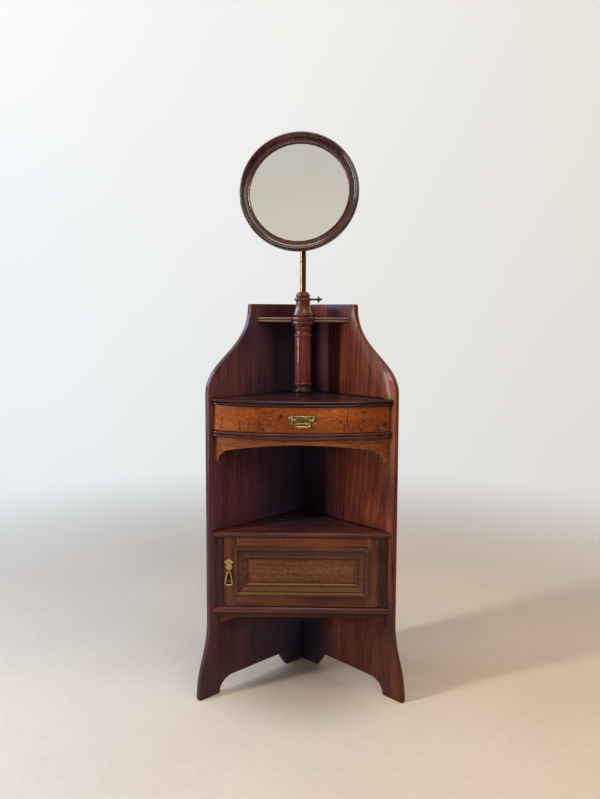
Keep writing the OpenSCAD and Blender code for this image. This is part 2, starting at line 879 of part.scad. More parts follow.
// One side of the drawer, parallel to the side board beside it
module lining() {
    inner = lining_v + lining_t;
    intersection() {
        translate([0, 0, lining_z0])
            linear_extrude(lining_z1 - lining_z0)
                difference() {
                    polygon([[0, -lining_v * sqrt(2)], on_wall(side_w, lining_v),
                        on_wall(side_w, inner), [0, -inner * sqrt(2)]]);
                    translate([-side_w, -drawer_back_y]) square([2 * side_w, side_w]);
                }
        translate([0, bow_centre, 0]) cylinder(r = bow_r - drawer_front_t, h = side_h, $fn = 720);
    }
}

module drawer_side_right() {
    color(pine) from_corner()
        difference() {
            lining();
            drawer_board();
        }
}

module drawer_side_left() {
    color(pine) from_corner()
        difference() {
            mirror([1, 0, 0]) lining();
            drawer_board();
        }
}

module drawer_back() {
    v = lining_v + lining_t;
    color(pine) from_corner()
        translate([0, 0, bottom_z + bottom_t])
            linear_extrude(lining_z1 - bottom_z - bottom_t - 4)
                intersection() {
                    corner_plan(side_w, v);
                    translate([-side_w, -drawer_back_y - lining_t]) square([2 * side_w, lining_t]);
                }
}

// The drawer's bottom lies in grooves in the sides and under the back
module drawer_board() {
    v = lining_v + lining_t - 4;
    intersection() {
        translate([0, 0, bottom_z])
            linear_extrude(bottom_t)
                difference() {
                    corner_plan(side_w, v);
                    translate([-side_w, -drawer_back_y]) square([2 * side_w, side_w]);
                }
        translate([0, bow_centre, 0]) cylinder(r = bow_r - drawer_front_t, h = side_h, $fn = 720);
    }
}

module drawer_bottom() {
    color(pine) from_corner() drawer_board();
}

// Two strips under the bottom, which run either side of the guide
module drawer_runners() {
    w = 10;
    color(pine) from_corner()
        for (s = [-1, 1])
            translate([s * (guide_w / 2 + 0.5 + w / 2) - w / 2, -guide_front_y, drawer_bed_z + 0.5])
                cube([w, guide_front_y - drawer_back_y - 4, bottom_z - drawer_bed_z - 0.5]);
}

// Places for the two posts of the handle, each with its axis square to the bow
module post_places() {
    for (s = [-1, 1]) {
        x = handle_x + s * post_gap / 2;
        a = asin(x / bow_r);
        translate([0, bow_centre, handle_z])
            rotate([0, 0, a]) translate([0, -bow_r, 0]) rotate([90, 0, 0]) children();
    }
}

plate_t = 1.8;

// A back plate bent to the bow, with three lobes at each end
module drawer_plate() {
    w = 68.5;
    h = 20;
    corner_r = 3.6;
    middle_r = 4.6;
    color(brass) from_corner()
        difference() {
            intersection() {
                translate([0, bow_centre, handle_z - 20])
                    difference() {
                        cylinder(r = bow_r + plate_t, h = 40, $fn = 720);
                        translate([0, 0, -1]) cylinder(r = bow_r, h = 42, $fn = 720);
                    }
                translate([handle_x, 0, handle_z])
                    rotate([90, 0, 0])
                        linear_extrude(400) {
                            square([w - 2 * middle_r, h - corner_r], center = true);
                            square([w - 4 * corner_r, h], center = true);
                            for (s = [-1, 1]) {
                                translate([s * (w / 2 - middle_r), 0]) circle(r = middle_r, $fn = 48);
                                for (t = [-1, 1])
                                    translate([s * (w / 2 - 2 * corner_r), t * (h / 2 - corner_r)])
                                        circle(r = corner_r, $fn = 32);
                            }
                        }
            }
            post_places() cylinder(r = post_shank_r, h = 60, center = true, $fn = 48);
        }
}

bail_r = 2.4;
bail_z = handle_z;
bail_y = bow_y + post_out - 0.5;
bail_drop = 15;
bail_eye_r = 1.5;

// Posts screwed through the drawer front: a turned boss, a ball that holds the bail's
// end, a shank and a nut inside the drawer
module drawer_posts() {
    color(brass) from_corner()
        difference() {
            post_places()
                rotate_extrude($fn = 48)
                    polygon(concat(
                        [[0, -drawer_front_t - 5], [post_shank_r, -drawer_front_t - 5],
                        [post_shank_r, -drawer_front_t - 3.4], [5, -drawer_front_t - 3.4],
                        [5, -drawer_front_t], [post_shank_r, -drawer_front_t],
                        [post_shank_r, plate_t], [5.2, plate_t], [5.2, plate_t + 1]],
                        hollow(5, plate_t + 1.2, plate_t + 7, 2.2, 8),
                        [[2.8, 10]],
                        arc(0, post_out, 3.8, post_ball_r, -48, 90, 9)));
            translate([0, -bail_y, bail_z]) rotate([0, 90, 0])
                cylinder(r = bail_eye_r + 0.1, h = 100, center = true, $fn = 32);
        }
}

// A round bar of length l along +X from the origin, then a bend of radius b towards +Y
// through an angle; what follows it is carried to the end of the bend. A bend is a little
// thicker than its bars, which run into it.
seat = 0.5;

module bar(l, r) {
    translate([-seat, 0, 0]) rotate([0, 90, 0]) cylinder(r = r, h = l + 2 * seat, $fn = 32);
    translate([l, 0, 0]) children();
}

module bend(b, angle, r) {
    translate([0, b, 0]) rotate([0, 0, -90])
        rotate_extrude(angle = angle, $fn = 96)
            translate([b, 0]) circle(r = r + 0.1, $fn = 32);
    translate([0, b, 0]) rotate([0, 0, angle]) translate([0, -b, 0]) children();
}

// The bail hangs from the posts; its grip is thicker in the middle
module drawer_bail() {
    grip_w = 10.5;
    arm_x = post_gap / 2 - 6.8;
    pin_l = 5.8;
    bend_r = 6.5;
    arm_r = 1.9;
    color(brass) from_corner()
        translate([handle_x, -bail_y, bail_z]) {
            for (s = [-1, 1])
                scale_x(s) {
                    translate([arm_x, 0, 0]) rotate([0, 90, 0])
                        cylinder(r = bail_eye_r, h = pin_l, $fn = 32);
                    translate([arm_x, 0, 2]) sphere(r = arm_r + 0.4, $fn = 32);
                    translate([arm_x, 0, 2]) rotate([90, 90, 180])
                        bar(bail_drop + 2 - bend_r, arm_r)
                            bend(bend_r, 90, arm_r)
                                bar(arm_x - bend_r - grip_w, arm_r);
                }
            translate([-grip_w, 0, -bail_drop]) rotate([0, 90, 0])
                rotate_extrude($fn = 48)
                    polygon(concat([[0, 0], [bail_r - 0.6, 0]],
                        bead(bail_r - 0.6, 0.2, 2, 0.6, 4),
                        [for (i = [0:8])
                            [arm_r + (bail_r - arm_r) * sin(22.5 * i),
                            2.4 + (grip_w - 2.4) * i / 4]],
                        bead(bail_r - 0.6, 2 * grip_w - 2, 2 * grip_w - 0.2, 0.6, 4),
                        [[bail_r - 0.6, 2 * grip_w], [0, 2 * grip_w]]));
        }
}

// ---------- door ----------

rail_z = door_z1 - frame_w;
low_rail_z = door_z0 + frame_w;
panel_t = 6;
panel_back = 9;                 // how far the panel's face is set back from the door's
groove = 6;

module framed(x0, x1, z0, z1) {
    translate([x0, -front_y, z0]) cube([x1 - x0, door_t, z1 - z0]);
}

// The space that the panel fills, with its edges in the frame's grooves
module panel_space() {
    x = door_half_w - frame_w + groove;
    translate([-x, -front_y + panel_back, low_rail_z - groove])
        cube([2 * x, panel_t, rail_z - low_rail_z + 2 * groove]);
}

// The keyhole, cut back from y through the depth d, with its slot down to the depth h
module keyhole(y, d, h = 7) {
    translate([-lock_x, y, lock_z]) rotate([-90, 0, 0]) cylinder(r = 3, h = d, $fn = 32);
    translate([-lock_x - 1.4, y, lock_z - h]) cube([2.8, d, h]);
}

module lock_space() {
    translate([-door_half_w, -front_y + door_t - 9.5, lock_z - 18]) cube([25, 9.5, 36]);
}

tongue_t = 6;
tongue_l = 22;

// The rails' tenons, in the stiles' mortises
module tenons(grow = 0) {
    for (z = [[door_z0 + 4, low_rail_z - 8], [rail_z + 8, door_z1 - 4]])
        translate([-door_half_w + frame_w - tongue_l, -front_y + door_t - 8, z[0]])
            cube([2 * (door_half_w - frame_w + tongue_l), tongue_t, z[1] - z[0]]);
}

module door_stile_left() {
    color(mahogany_lit) from_corner()
        difference() {
            framed(-door_half_w, -door_half_w + frame_w, door_z0, door_z1);
            panel_space();
            tenons();
            lock_space();
            keyhole(-front_y - 1, 30);
            door_screw_places() screw_core(1.4, 8);
        }
}

module door_stile_right() {
    color(mahogany_lit) from_corner()
        difference() {
            framed(door_half_w - frame_w, door_half_w, door_z0, door_z1);
            panel_space();
            tenons();
            for (z = hinge_z) {
                translate([door_half_w - leaf_t, -front_y - cut, z])
                    cube([leaf_t + cut, leaf_w + cut, hinge_h]);
                leaf_holes(z, door_half_w, -1) screw_core();
            }
        }
}

module door_rail(z0, z1) {
    x = door_half_w - frame_w;
    difference() {
        union() {
            framed(-x, x, z0, z1);
            intersection() {
                tenons();
                framed(-door_half_w, door_half_w, z0, z1);
            }
        }
        panel_space();
    }
}

module door_rail_top() {
    color(mahogany_lit) from_corner() door_rail(rail_z, door_z1);
}

module door_rail_bottom() {
    color(mahogany_lit) from_corner() door_rail(door_z0, low_rail_z);
}

module door_panel() {
    color(walnut_gold) from_corner() panel_space();
}

// Half section of the door's moulding: across, from its outer edge in, and out from the
// face of the door. It laps over the frame, steps down, and ends in a bead on the panel.
lap = 6;
moulding_profile = concat(
    [[0, 0]],
    [[0, moulding_out - 2.4]],
    arc(2.4, moulding_out - 2.4, 2.4, 2.4, 180, 90, 4),
    [[4.6, moulding_out]],
    arc(6.4, moulding_out - 1, 2, 1, 90, 0, 4),
    [[8.4, moulding_out - 3], [10, moulding_out - 6], [11.6, moulding_out - 6.4]],
    [[13, moulding_out - 6.2], [24, moulding_out - 9.8]],
    [[25.4, moulding_out - 9.4]],
    arc(28.6, moulding_out - 10.6, 2.6, 2, 160, 20, 6),
    [[32.4, 1.6 - panel_back], [moulding_w, 1.2 - panel_back], [moulding_w, -panel_back],
    [lap, -panel_back], [lap, 0]]);

// One length of moulding along X, mitred at both ends, its outer edge at z = 0
module moulding_length(l) {
    intersection() {
        translate([-l / 2, -front_y, 0])
            rotate([90, 0, 90]) linear_extrude(l) mirror([1, 0, 0]) swap_axes();
        translate([0, -front_y + 50, 0]) rotate([90, 0, 0])
            linear_extrude(100) polygon([[-l / 2, 0], [l / 2, 0], [l / 2 - 60, -60], [-l / 2 + 60, -60]]);
    }
}

module swap_axes() {
    polygon([for (p = moulding_profile) [p[1], -p[0]]]);
}

// Four lengths of moulding round the panel, drawn as one outline swept round a rectangle
module door_moulding() {
    x = door_half_w - frame_w + lap;
    z0 = low_rail_z - lap;
    z1 = rail_z + lap;
    w = 2 * x;
    h = z1 - z0;
    color(mahogany) from_corner()
        translate([0, 0, (z0 + z1) / 2]) {
            translate([0, 0, h / 2]) moulding_length(w);
            rotate([0, 180, 0]) translate([0, 0, h / 2]) moulding_length(w);
            for (a = [90, 270])
                rotate([0, a, 0]) translate([0, 0, w / 2]) moulding_length(h);
        }
}

// ---------- door handle and lock ----------

plate_x = -lock_x;
door_plate_t = 1.6;
drop_z = 331.5;
drop_out = 5.2;
drop_r = 2.2;
drop_pin_r = 1.3;
lug_w = 2.8;                    // the lug that the drop hangs on

module door_screw_places() {
    for (s = [-1, 1])
        translate([plate_x + s * 7, -front_y - door_plate_t, 358])
            rotate([0, 0, 90]) children();
}

// A shield-shaped plate with two ears for its screws, and a tongue with the keyhole
module door_plate() {
    color(brass) from_corner()
        difference() {
            union() {
                translate([plate_x, -front_y, 0])
                    rotate([90, 0, 0])
                        linear_extrude(door_plate_t) {
                            translate([0, 361]) circle(r = 5.4, $fn = 32);
                            for (s = [-1, 1]) translate([s * 7, 358]) circle(r = 4, $fn = 32);
                            translate([-6.2, 346]) square([12.4, 13]);
                            translate([0, 345]) circle(r = 8.6, $fn = 48);
                            translate([0, lock_z - 1]) circle(r = 7, $fn = 48);
                            translate([-4.4, lock_z]) square([8.8, 345 - lock_z]);
                        }
                translate([plate_x - lug_w / 2, -front_y, drop_z])
                    rotate([90, 0, 90]) linear_extrude(lug_w)
                        polygon(concat([[0, -3.4]], arc(-drop_out, 0, 2.8, 2.8, 270, 120, 8),
                            [[-door_plate_t, 6]], [[0, 6]]));
            }
            translate([plate_x, -front_y - drop_out, drop_z]) rotate([0, 90, 0])
                cylinder(r = drop_pin_r, h = 40, center = true, $fn = 32);
            keyhole(-front_y - 5, 10, 5.5);
            door_screw_places() screw_core(1.4, 8);
        }
}

module door_plate_screws() {
    color(brass) from_corner() door_screw_places() wood_screw(1.4, 8);
}

// A stirrup: a bar through the plate's lug with a knuckle at each end, and two arms that
// spread a little to the foot
module door_drop() {
    splay = 10.5;
    knuckle_x = 4.2;
    arm_l = 26;
    foot_r = 6.5;
    foot_x = knuckle_x + arm_l * sin(splay) - foot_r * cos(splay);
    color(brass) from_corner()
        translate([plate_x, -front_y - drop_out, drop_z]) {
            rotate([0, 90, 0])
                cylinder(r = drop_pin_r - 0.06, h = lug_w + 4, center = true, $fn = 32);
            for (s = [-1, 1])
                scale_x(s) {
                    translate([lug_w / 2 + 0.5, 0, 0]) rotate([0, 90, 0])
                        cylinder(r = 2, h = knuckle_x - lug_w / 2 - 0.5, $fn = 32);
                    translate([knuckle_x, 0, 0]) {
                        sphere(r = 2.3, $fn = 32);
                        rotate([90, 90, 180]) rotate([0, 0, -splay])
                            bar(arm_l, drop_r) bend(foot_r, 90 + splay, drop_r)
                                bar(foot_x, drop_r);
                    }
                }
        }
}

module lock_case() {
    color(steel) from_corner()
        difference() {
            lock_space();
            translate([-door_half_w - 1, -bolt_y - bolt_t / 2 - 0.3, lock_z - bolt_h / 2 - 0.3])
                cube([24, bolt_t + 0.6, bolt_h + 0.6]);
            keyhole(-front_y - 1, door_t - 1);
        }
}

module lock_bolt() {
    color(brass) from_corner()
        translate([-door_half_w + 0.4, -bolt_y - bolt_t / 2, lock_z - bolt_h / 2])
            cube([9, bolt_t, bolt_h]);
}

left_side();
right_side();
drawer_top();
drawer_bed();
upper_apron();
drawer_guide();
drawer_stops();
cupboard_top();
cupboard_floor();
lower_apron();
apron_blocks();
left_post();
right_post();
door_stop();
collar_shelf();
collar_boss();
column_lower();
column_upper();
rod_bush();
fixed_hinge_leaves();
hinge_pins();
fixed_hinge_screws();
lock_keep();
drawer_front();
drawer_side_left();
drawer_side_right();
drawer_back();
drawer_bottom();
drawer_runners();
drawer_plate();
drawer_posts();
drawer_bail();
door_stile_left();
door_stile_right();
door_rail_top();
door_rail_bottom();
door_moulding();
door_panel();
moving_hinge_leaves();
moving_hinge_screws();
door_plate();
door_plate_screws();
door_drop();
lock_case();
lock_bolt();
rod();
rod_head();
pivot_screw();
mirror_frame();
mirror_glass();
mirror_back();
mirror_flange();
flange_screws();
thumbscrew();
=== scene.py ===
import bpy
import bmesh
import math
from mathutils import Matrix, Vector


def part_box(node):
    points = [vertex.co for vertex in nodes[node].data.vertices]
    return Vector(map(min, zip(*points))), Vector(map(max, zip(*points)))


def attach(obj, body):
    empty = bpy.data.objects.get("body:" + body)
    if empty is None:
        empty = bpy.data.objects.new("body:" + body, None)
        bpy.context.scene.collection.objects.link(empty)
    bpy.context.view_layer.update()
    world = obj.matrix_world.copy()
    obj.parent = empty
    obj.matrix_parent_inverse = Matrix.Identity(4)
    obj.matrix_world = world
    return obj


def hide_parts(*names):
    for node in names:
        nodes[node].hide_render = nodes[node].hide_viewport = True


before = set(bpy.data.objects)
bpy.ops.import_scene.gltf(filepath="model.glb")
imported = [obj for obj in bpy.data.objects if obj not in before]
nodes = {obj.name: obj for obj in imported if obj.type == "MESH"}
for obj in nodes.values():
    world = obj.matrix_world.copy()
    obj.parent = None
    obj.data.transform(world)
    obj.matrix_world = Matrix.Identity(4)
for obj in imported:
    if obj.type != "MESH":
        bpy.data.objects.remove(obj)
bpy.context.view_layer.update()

# ---------------------------------------------------------------- where everything stands
# The back corner, where the outer faces of the two side boards meet, is the line that the
# boards, shelves and column are all set out from. The camera, the painted shade in the corner and
# the cast work on the two handles are placed from it.

back_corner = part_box("left_side")[1].y


def from_corner(x, y, z):
    """A point that lies y in front of the back corner."""
    return Vector((x, back_corner - y, z))


# ---------------------------------------------------------------- camera
# It stands about two metres in front of the back corner, a metre above the floor, and looks a
# little down and a little to the left of square.

camera_down = 0.1176
camera_roll = -0.0039
camera_left = 0.0174

camera = bpy.data.cameras.new("camera")
camera.sensor_width = 36.0
camera.lens = 34.80
camera_stand = bpy.data.objects.new("camera", camera)
bpy.context.scene.collection.objects.link(camera_stand)
camera_stand.location = from_corner(0.0273, 2.1517, 1.0034)
camera_stand.rotation_euler = (math.radians(90.0) - camera_down, camera_roll, camera_left)
bpy.context.scene.camera = camera_stand

bpy.context.scene.view_settings.view_transform = "Standard"

# ---------------------------------------------------------------- floor
# A plain pale stone floor with a painted cool daylight tint to the left, a painted warm lamplight
# tint to the right and a painted shade under the stand. It thins out into the pale room all
# round, so it has no edge.

floor_radius = 6.0
floor_corners = 48
# How far out the floor starts to thin and is gone, and the same for the shade on it
floor_thins = (0.8, 2.9)
shade_thins = (0.06, 0.30)
shade_middle = (0.0, -0.02, 0.0)
daylit_stone = (0.86, 0.81, 0.76, 1.0)
lamplit_stone = (0.97, 0.82, 0.68, 1.0)
cloudy_stone = (0.66, 0.60, 0.55, 1.0)
sandy_stone = (0.66, 0.55, 0.43, 1.0)
shaded_stone = (0.30, 0.24, 0.19, 1.0)


def put(tree, kind, inputs=None, **settings):
    """Adds one shader node; an input is a number, a colour or another node's output."""
    made = tree.nodes.new("ShaderNode" + kind)
    for name, value in settings.items():
        setattr(made, name, value)
    for name, value in (inputs or {}).items():
        socket = made.inputs[name]
        if isinstance(value, bpy.types.NodeSocket):
            tree.links.new(value, socket)
        else:
            socket.default_value = value
    return made


def reckon(tree, operation, a, b=0.0, clamp=False):
    """One sum with numbers."""
    made = put(tree, "Math", {0: a, 1: b}, operation=operation)
    made.use_clamp = clamp
    return made.outputs[0]


def vector(tree, operation, a, b):
    """One sum with points."""
    return put(tree, "VectorMath", {0: a, 1: b}, operation=operation).outputs["Vector"]


def length(tree, point):
    """How far a point lies from the origin."""
    return put(tree, "VectorMath", {0: point}, operation="LENGTH").outputs["Value"]


def coordinate(tree, point, axis):
    """One of a point's three coordinates."""
    return put(tree, "SeparateXYZ", {0: point}).outputs[axis]


def between(tree, value, start, end, low=0.0, high=1.0, soft=False):
    """Carries a value from the range start..end to the range low..high, held at its ends."""
    made = put(tree, "MapRange", {"Value": value, "From Min": start, "From Max": end,
                                  "To Min": low, "To Max": high})
    if soft:
        made.interpolation_type = "SMOOTHSTEP"
    return made.outputs[0]


def mixed(tree, share, first, second):
    """The first colour where the share is 0 and the second where it is 1."""
    return put(tree, "MixRGB", {0: share, 1: first, 2: second}).outputs[0]


def noise(tree, place, scale, detail=3.0, roughness=0.5):
    """Noise with its own scale along each axis."""
    stretched = put(tree, "Mapping", {"Vector": place, "Scale": scale}).outputs[0]
    return put(tree, "TexNoise", {"Vector": stretched, "Scale": 1.0, "Detail": detail,
                                  "Roughness": roughness}).outputs[0]


def new_material(name):
    """An empty material and its node tree."""
    material = bpy.data.materials.new(name)
    material.use_nodes = True
    tree = material.node_tree
    tree.nodes.clear()
    return material, tree


floor_mesh = bpy.data.meshes.new("floor")
floor_mesh.from_pydata(
    [(floor_radius * math.cos(2 * math.pi * i / floor_corners),
      floor_radius * math.sin(2 * math.pi * i / floor_corners), 0.0)
     for i in range(floor_corners)], [], [list(range(floor_corners))])
floor = bpy.data.objects.new("floor", floor_mesh)
bpy.context.scene.collection.objects.link(floor)

floor_finish, tree = new_material("floor_finish")
place = put(tree, "TexCoord").outputs["Object"]
cloudy = noise(tree, place, (2.2, 2.2, 2.2), 5.0)
sandy = noise(tree, place, (45.0, 45.0, 45.0), 4.0)
rightward = coordinate(tree, place, "X")
tone = mixed(tree, between(tree, rightward, -0.6, 0.6), daylit_stone, lamplit_stone)
tone = mixed(tree, between(tree, cloudy, 0.3, 0.7, 0.0, 0.3), tone, cloudy_stone)
tone = mixed(tree, between(tree, sandy, 0.35, 0.75, 0.0, 0.16), tone, sandy_stone)
from_shade = length(tree, vector(tree, "SUBTRACT", place, shade_middle))
tone = mixed(tree, between(tree, from_shade, *shade_thins, 0.50, 0.0, soft=True), tone,
             shaded_stone)
stone = put(tree, "BsdfPrincipled", {"Base Color": tone, "Roughness": 0.62,
                                     "Specular IOR Level": 0.25})
far_out = length(tree, place)
clear = put(tree, "BsdfTransparent")
thinned = put(tree, "MixShader", {0: between(tree, far_out, *floor_thins, soft=True),
                                  1: stone.outputs[0], 2: clear.outputs[0]})
put(tree, "OutputMaterial", {"Surface": thinned.outputs[0]})
floor_mesh.materials.append(floor_finish)

# ---------------------------------------------------------------- light
# Daylight from two windows on the left, a warmer lamp-lit room on the right, two soft lamps
# overhead and a faint warm one behind. The window's glow, the sky and the garden light nothing
# that is matt: they only show in the polish, along the edges of the boards.


def lamp(name, place, aim, size, power, colour, mirrored=True, lighting=True):
    """A rectangular lamp that points from its place to its aim. mirrored says whether polish
    shows it, and lighting whether it lights what is matt."""
    light = bpy.data.lights.new(name, "AREA")
    light.shape = "RECTANGLE"
    light.size, light.size_y = size
    light.energy = power
    light.color = colour
    stand = bpy.data.objects.new(name, light)
    bpy.context.scene.collection.objects.link(stand)
    stand.location = place
    stand.rotation_euler = (Vector(aim) - Vector(place)).to_track_quat("-Z", "Y").to_euler()
    stand.visible_glossy = mirrored
    stand.visible_diffuse = lighting


lamp("window_light", (-2.5, -1.31, 1.5), aim=(0.0, 0.0, 0.7), size=(0.26, 2.4), power=66.0,
     colour=(0.94, 0.95, 0.97), mirrored=False)
lamp("window_glow", (-2.5, -0.90, 1.5), aim=(0.0, 0.0, 0.7), size=(0.20, 2.2), power=46.0,
     colour=(1.0, 0.93, 0.84), lighting=False)
lamp("room_light", (2.5, -1.5, 1.5), aim=(0.0, 0.0, 0.7), size=(1.8, 2.0), power=27.0,
     colour=(1.0, 0.76, 0.52), mirrored=False)
lamp("ceiling_light", (0.8, -2.1, 2.9), aim=(0.0, 0.0, 0.5), size=(1.6, 1.4), power=15.0,
     colour=(1.0, 0.92, 0.80))
lamp("roof_light", (-0.2, -0.7, 3.0), aim=(0.0, -0.1, 0.6), size=(1.2, 0.6), power=17.0,
     colour=(1.0, 0.88, 0.68))
lamp("sky_light", (-2.7, 0.75, 2.20), aim=(0.0, 0.0, 0.9), size=(0.8, 1.3), power=80.0,
     colour=(0.30, 0.52, 1.0), lighting=False)
lamp("garden_light", (-2.6, 0.10, 1.70), aim=(0.0, 0.0, 1.2), size=(0.5, 0.9), power=13.0,
     colour=(0.28, 0.48, 1.0), lighting=False)
lamp("far_window_light", (-2.6, 0.25, 1.95), aim=(0.0, 0.0, 0.9), size=(0.9, 0.9), power=18.0,
     colour=(0.55, 0.72, 1.0), mirrored=False)
lamp("warm_edge_light", (1.9, 1.3, 2.2), aim=(0.0, 0.0, 1.0), size=(0.8, 2.0), power=3.0,
     colour=(1.0, 0.76, 0.48))

# ---------------------------------------------------------------- room
# A pale room all round, brighter at the left and above. In the polish, what lies behind the
# stand is that pale wall, and what lies in front of it is a dim room with a pale ceiling.

left_wall_top = (0.95, 0.96, 0.975, 1.0)
right_wall_top = (0.80, 0.77, 0.71, 1.0)
left_wall_foot = (0.80, 0.85, 0.87, 1.0)
right_wall_foot = (0.74, 0.71, 0.68, 1.0)
dim_wall = (0.070, 0.062, 0.066, 1.0)
pale_ceiling = (0.62, 0.58, 0.51, 1.0)
soft_daylight = (0.95, 0.96, 1.0, 1.0)

world = bpy.data.worlds.new("room")
bpy.context.scene.world = world
world.use_nodes = True
tree = world.node_tree
tree.nodes.clear()
path = put(tree, "LightPath")
looked_at = reckon(tree, "ADD", path.outputs["Is Camera Ray"],
                   path.outputs["Is Transmission Ray"], clamp=True)
direction = put(tree, "SeparateXYZ", {0: put(tree, "TexCoord").outputs["Generated"]})
rightward, back, up = direction.outputs["X"], direction.outputs["Y"], direction.outputs["Z"]
across = between(tree, rightward, -0.34, 0.34)
wall_top = mixed(tree, across, left_wall_top, right_wall_top)
wall_foot = mixed(tree, across, left_wall_foot, right_wall_foot)
wall = mixed(tree, between(tree, up, -0.22, 0.34), wall_foot, wall_top)
room_in_front = mixed(tree, between(tree, up, 0.16, 0.34, soft=True), dim_wall, pale_ceiling)
mirrored = mixed(tree, between(tree, back, 0.05, 0.55, soft=True), room_in_front, wall)
room_lighting = put(tree, "Background", {"Color": soft_daylight, "Strength": 0.13})
room_seen = put(tree, "Background", {"Color": wall, "Strength": 1.0})
room_mirrored = put(tree, "Background", {"Color": mirrored, "Strength": 1.0})
room_felt = put(tree, "MixShader", {0: path.outputs["Is Glossy Ray"],
                                    1: room_lighting.outputs[0], 2: room_mirrored.outputs[0]})
room = put(tree, "MixShader", {0: looked_at, 1: room_felt.outputs[0], 2: room_seen.outputs[0]})
put(tree, "OutputWorld", {"Surface": room.outputs[0]})

# ---------------------------------------------------------------- side boards
# Two wide boards of solid mahogany, grain upright, French polished. They are sawn to shape,
# butted at the back corner, and their arrises are eased by hand. Towards the corner a painted
# shade darkens them.

quirk_shade_and_dirt = (0.010, 0.005, 0.004, 1.0)
foot_shade = (0.018, 0.006, 0.005, 1.0)
corner_shade_colour = (0.046, 0.036, 0.072, 1.0)
# The heights between which the painted corner shade ends, and how far inside a board's outer face
# it does
corner_shade_tops = (0.955, 0.990)
board_skin = (-0.010, -0.004)
# The growth rings: how far apart they are, how far they sway and wander, and the tones of one
ring_gap = 0.0085
ring_sway = 0.06
ring_wander = 0.006
ring_tones = ((0.0, 0.15), (0.22, 0.85), (0.6, 0.65), (0.85, 0.35), (1.0, 0.1))
pore_shade = 0.35
pore_depth = 0.6
strand_height = 0.35
grain_depth = 0.0005
# Points nearer than this are one point, and faces that turn by less are one face
same_point = 0.00001
same_plane = math.radians(0.6)
left_board_grain = (0.0, 0.0, -math.radians(45.0))
right_board_grain = (0.0, 0.0, math.radians(45.0))


def shaded_and_grimed(tree, colour, reach):
    """Painted shade in the quirks and joints, found by ambient occlusion; the old polish and dust
    that gather there darken them too.
    """
    occluded = put(tree, "AmbientOcclusion", {"Distance": reach}, samples=6).outputs["AO"]
    return mixed(tree, between(tree, occluded, 0.30, 0.80), quirk_shade_and_dirt, colour)


def with_corner_shade(tree, place, colour, thins, ends, share):
    """Painted shade in the back corner, dark and a little blue. Going out from the corner, it
    thins from one distance and ends at another, and it leaves that share of the colour. The outer
    faces of the boards, and their tops, have none."""
    corner = vector(tree, "SUBTRACT", place, (0.0, back_corner, 0.0))
    flat = vector(tree, "MULTIPLY", corner, (1.0, 1.0, 0.0))
    left = between(tree, length(tree, flat), thins, ends, share, 1.0, soft=True)
    up = coordinate(tree, place, "Z")
    left = reckon(tree, "MAXIMUM", left, between(tree, up, *corner_shade_tops))
    sides = put(tree, "SeparateXYZ", {0: flat})
    inward = reckon(tree, "ADD", reckon(tree, "ABSOLUTE", sides.outputs["X"]),
                    sides.outputs["Y"])
    left = reckon(tree, "MAXIMUM", left, between(tree, inward, *board_skin))
    return mixed(tree, left, corner_shade_colour, colour)


def ramp(tree, share, stops):
    """Colours along a share from 0 to 1; each stop is a place on it and the colour there."""
    made = put(tree, "ValToRGB", {"Fac": share})
    elements = made.color_ramp.elements
    elements[0].position, elements[0].color = stops[0]
    elements[1].position, elements[1].color = stops[-1]
    for spot, colour in stops[1:-1]:
        elements.new(spot).color = colour
    return made.outputs[0]


def growth_rings(tree, turned, heart, lean):
    """The rings of a log whose heart lies beside the board and leans from it, which gives the
    flame. They sway along the board and are never quite even."""
    axis = put(tree, "SeparateXYZ", {0: turned})
    x, y, z = axis.outputs["X"], axis.outputs["Y"], axis.outputs["Z"]
    sway = noise(tree, turned, (7.0, 7.0, 1.6), 2.0)
    wander = noise(tree, turned, (60.0, 60.0, 6.0))
    across = reckon(tree, "ADD", reckon(tree, "ADD", x, heart[0]),
                    reckon(tree, "MULTIPLY", reckon(tree, "SUBTRACT", sway, 0.5), ring_sway))
    deep = reckon(tree, "ADD", reckon(tree, "ADD", y, heart[1]),
                  reckon(tree, "MULTIPLY", z, lean))
    radius = length(tree, put(tree, "CombineXYZ", {"X": across, "Y": deep}).outputs[0])
    radius = reckon(tree, "ADD", radius, reckon(tree, "MULTIPLY", wander, ring_wander))
    share = reckon(tree, "FRACT", reckon(tree, "DIVIDE", radius, ring_gap))
    return ramp(tree, share, [(spot, (tone, tone, tone, 1.0)) for spot, tone in ring_tones])


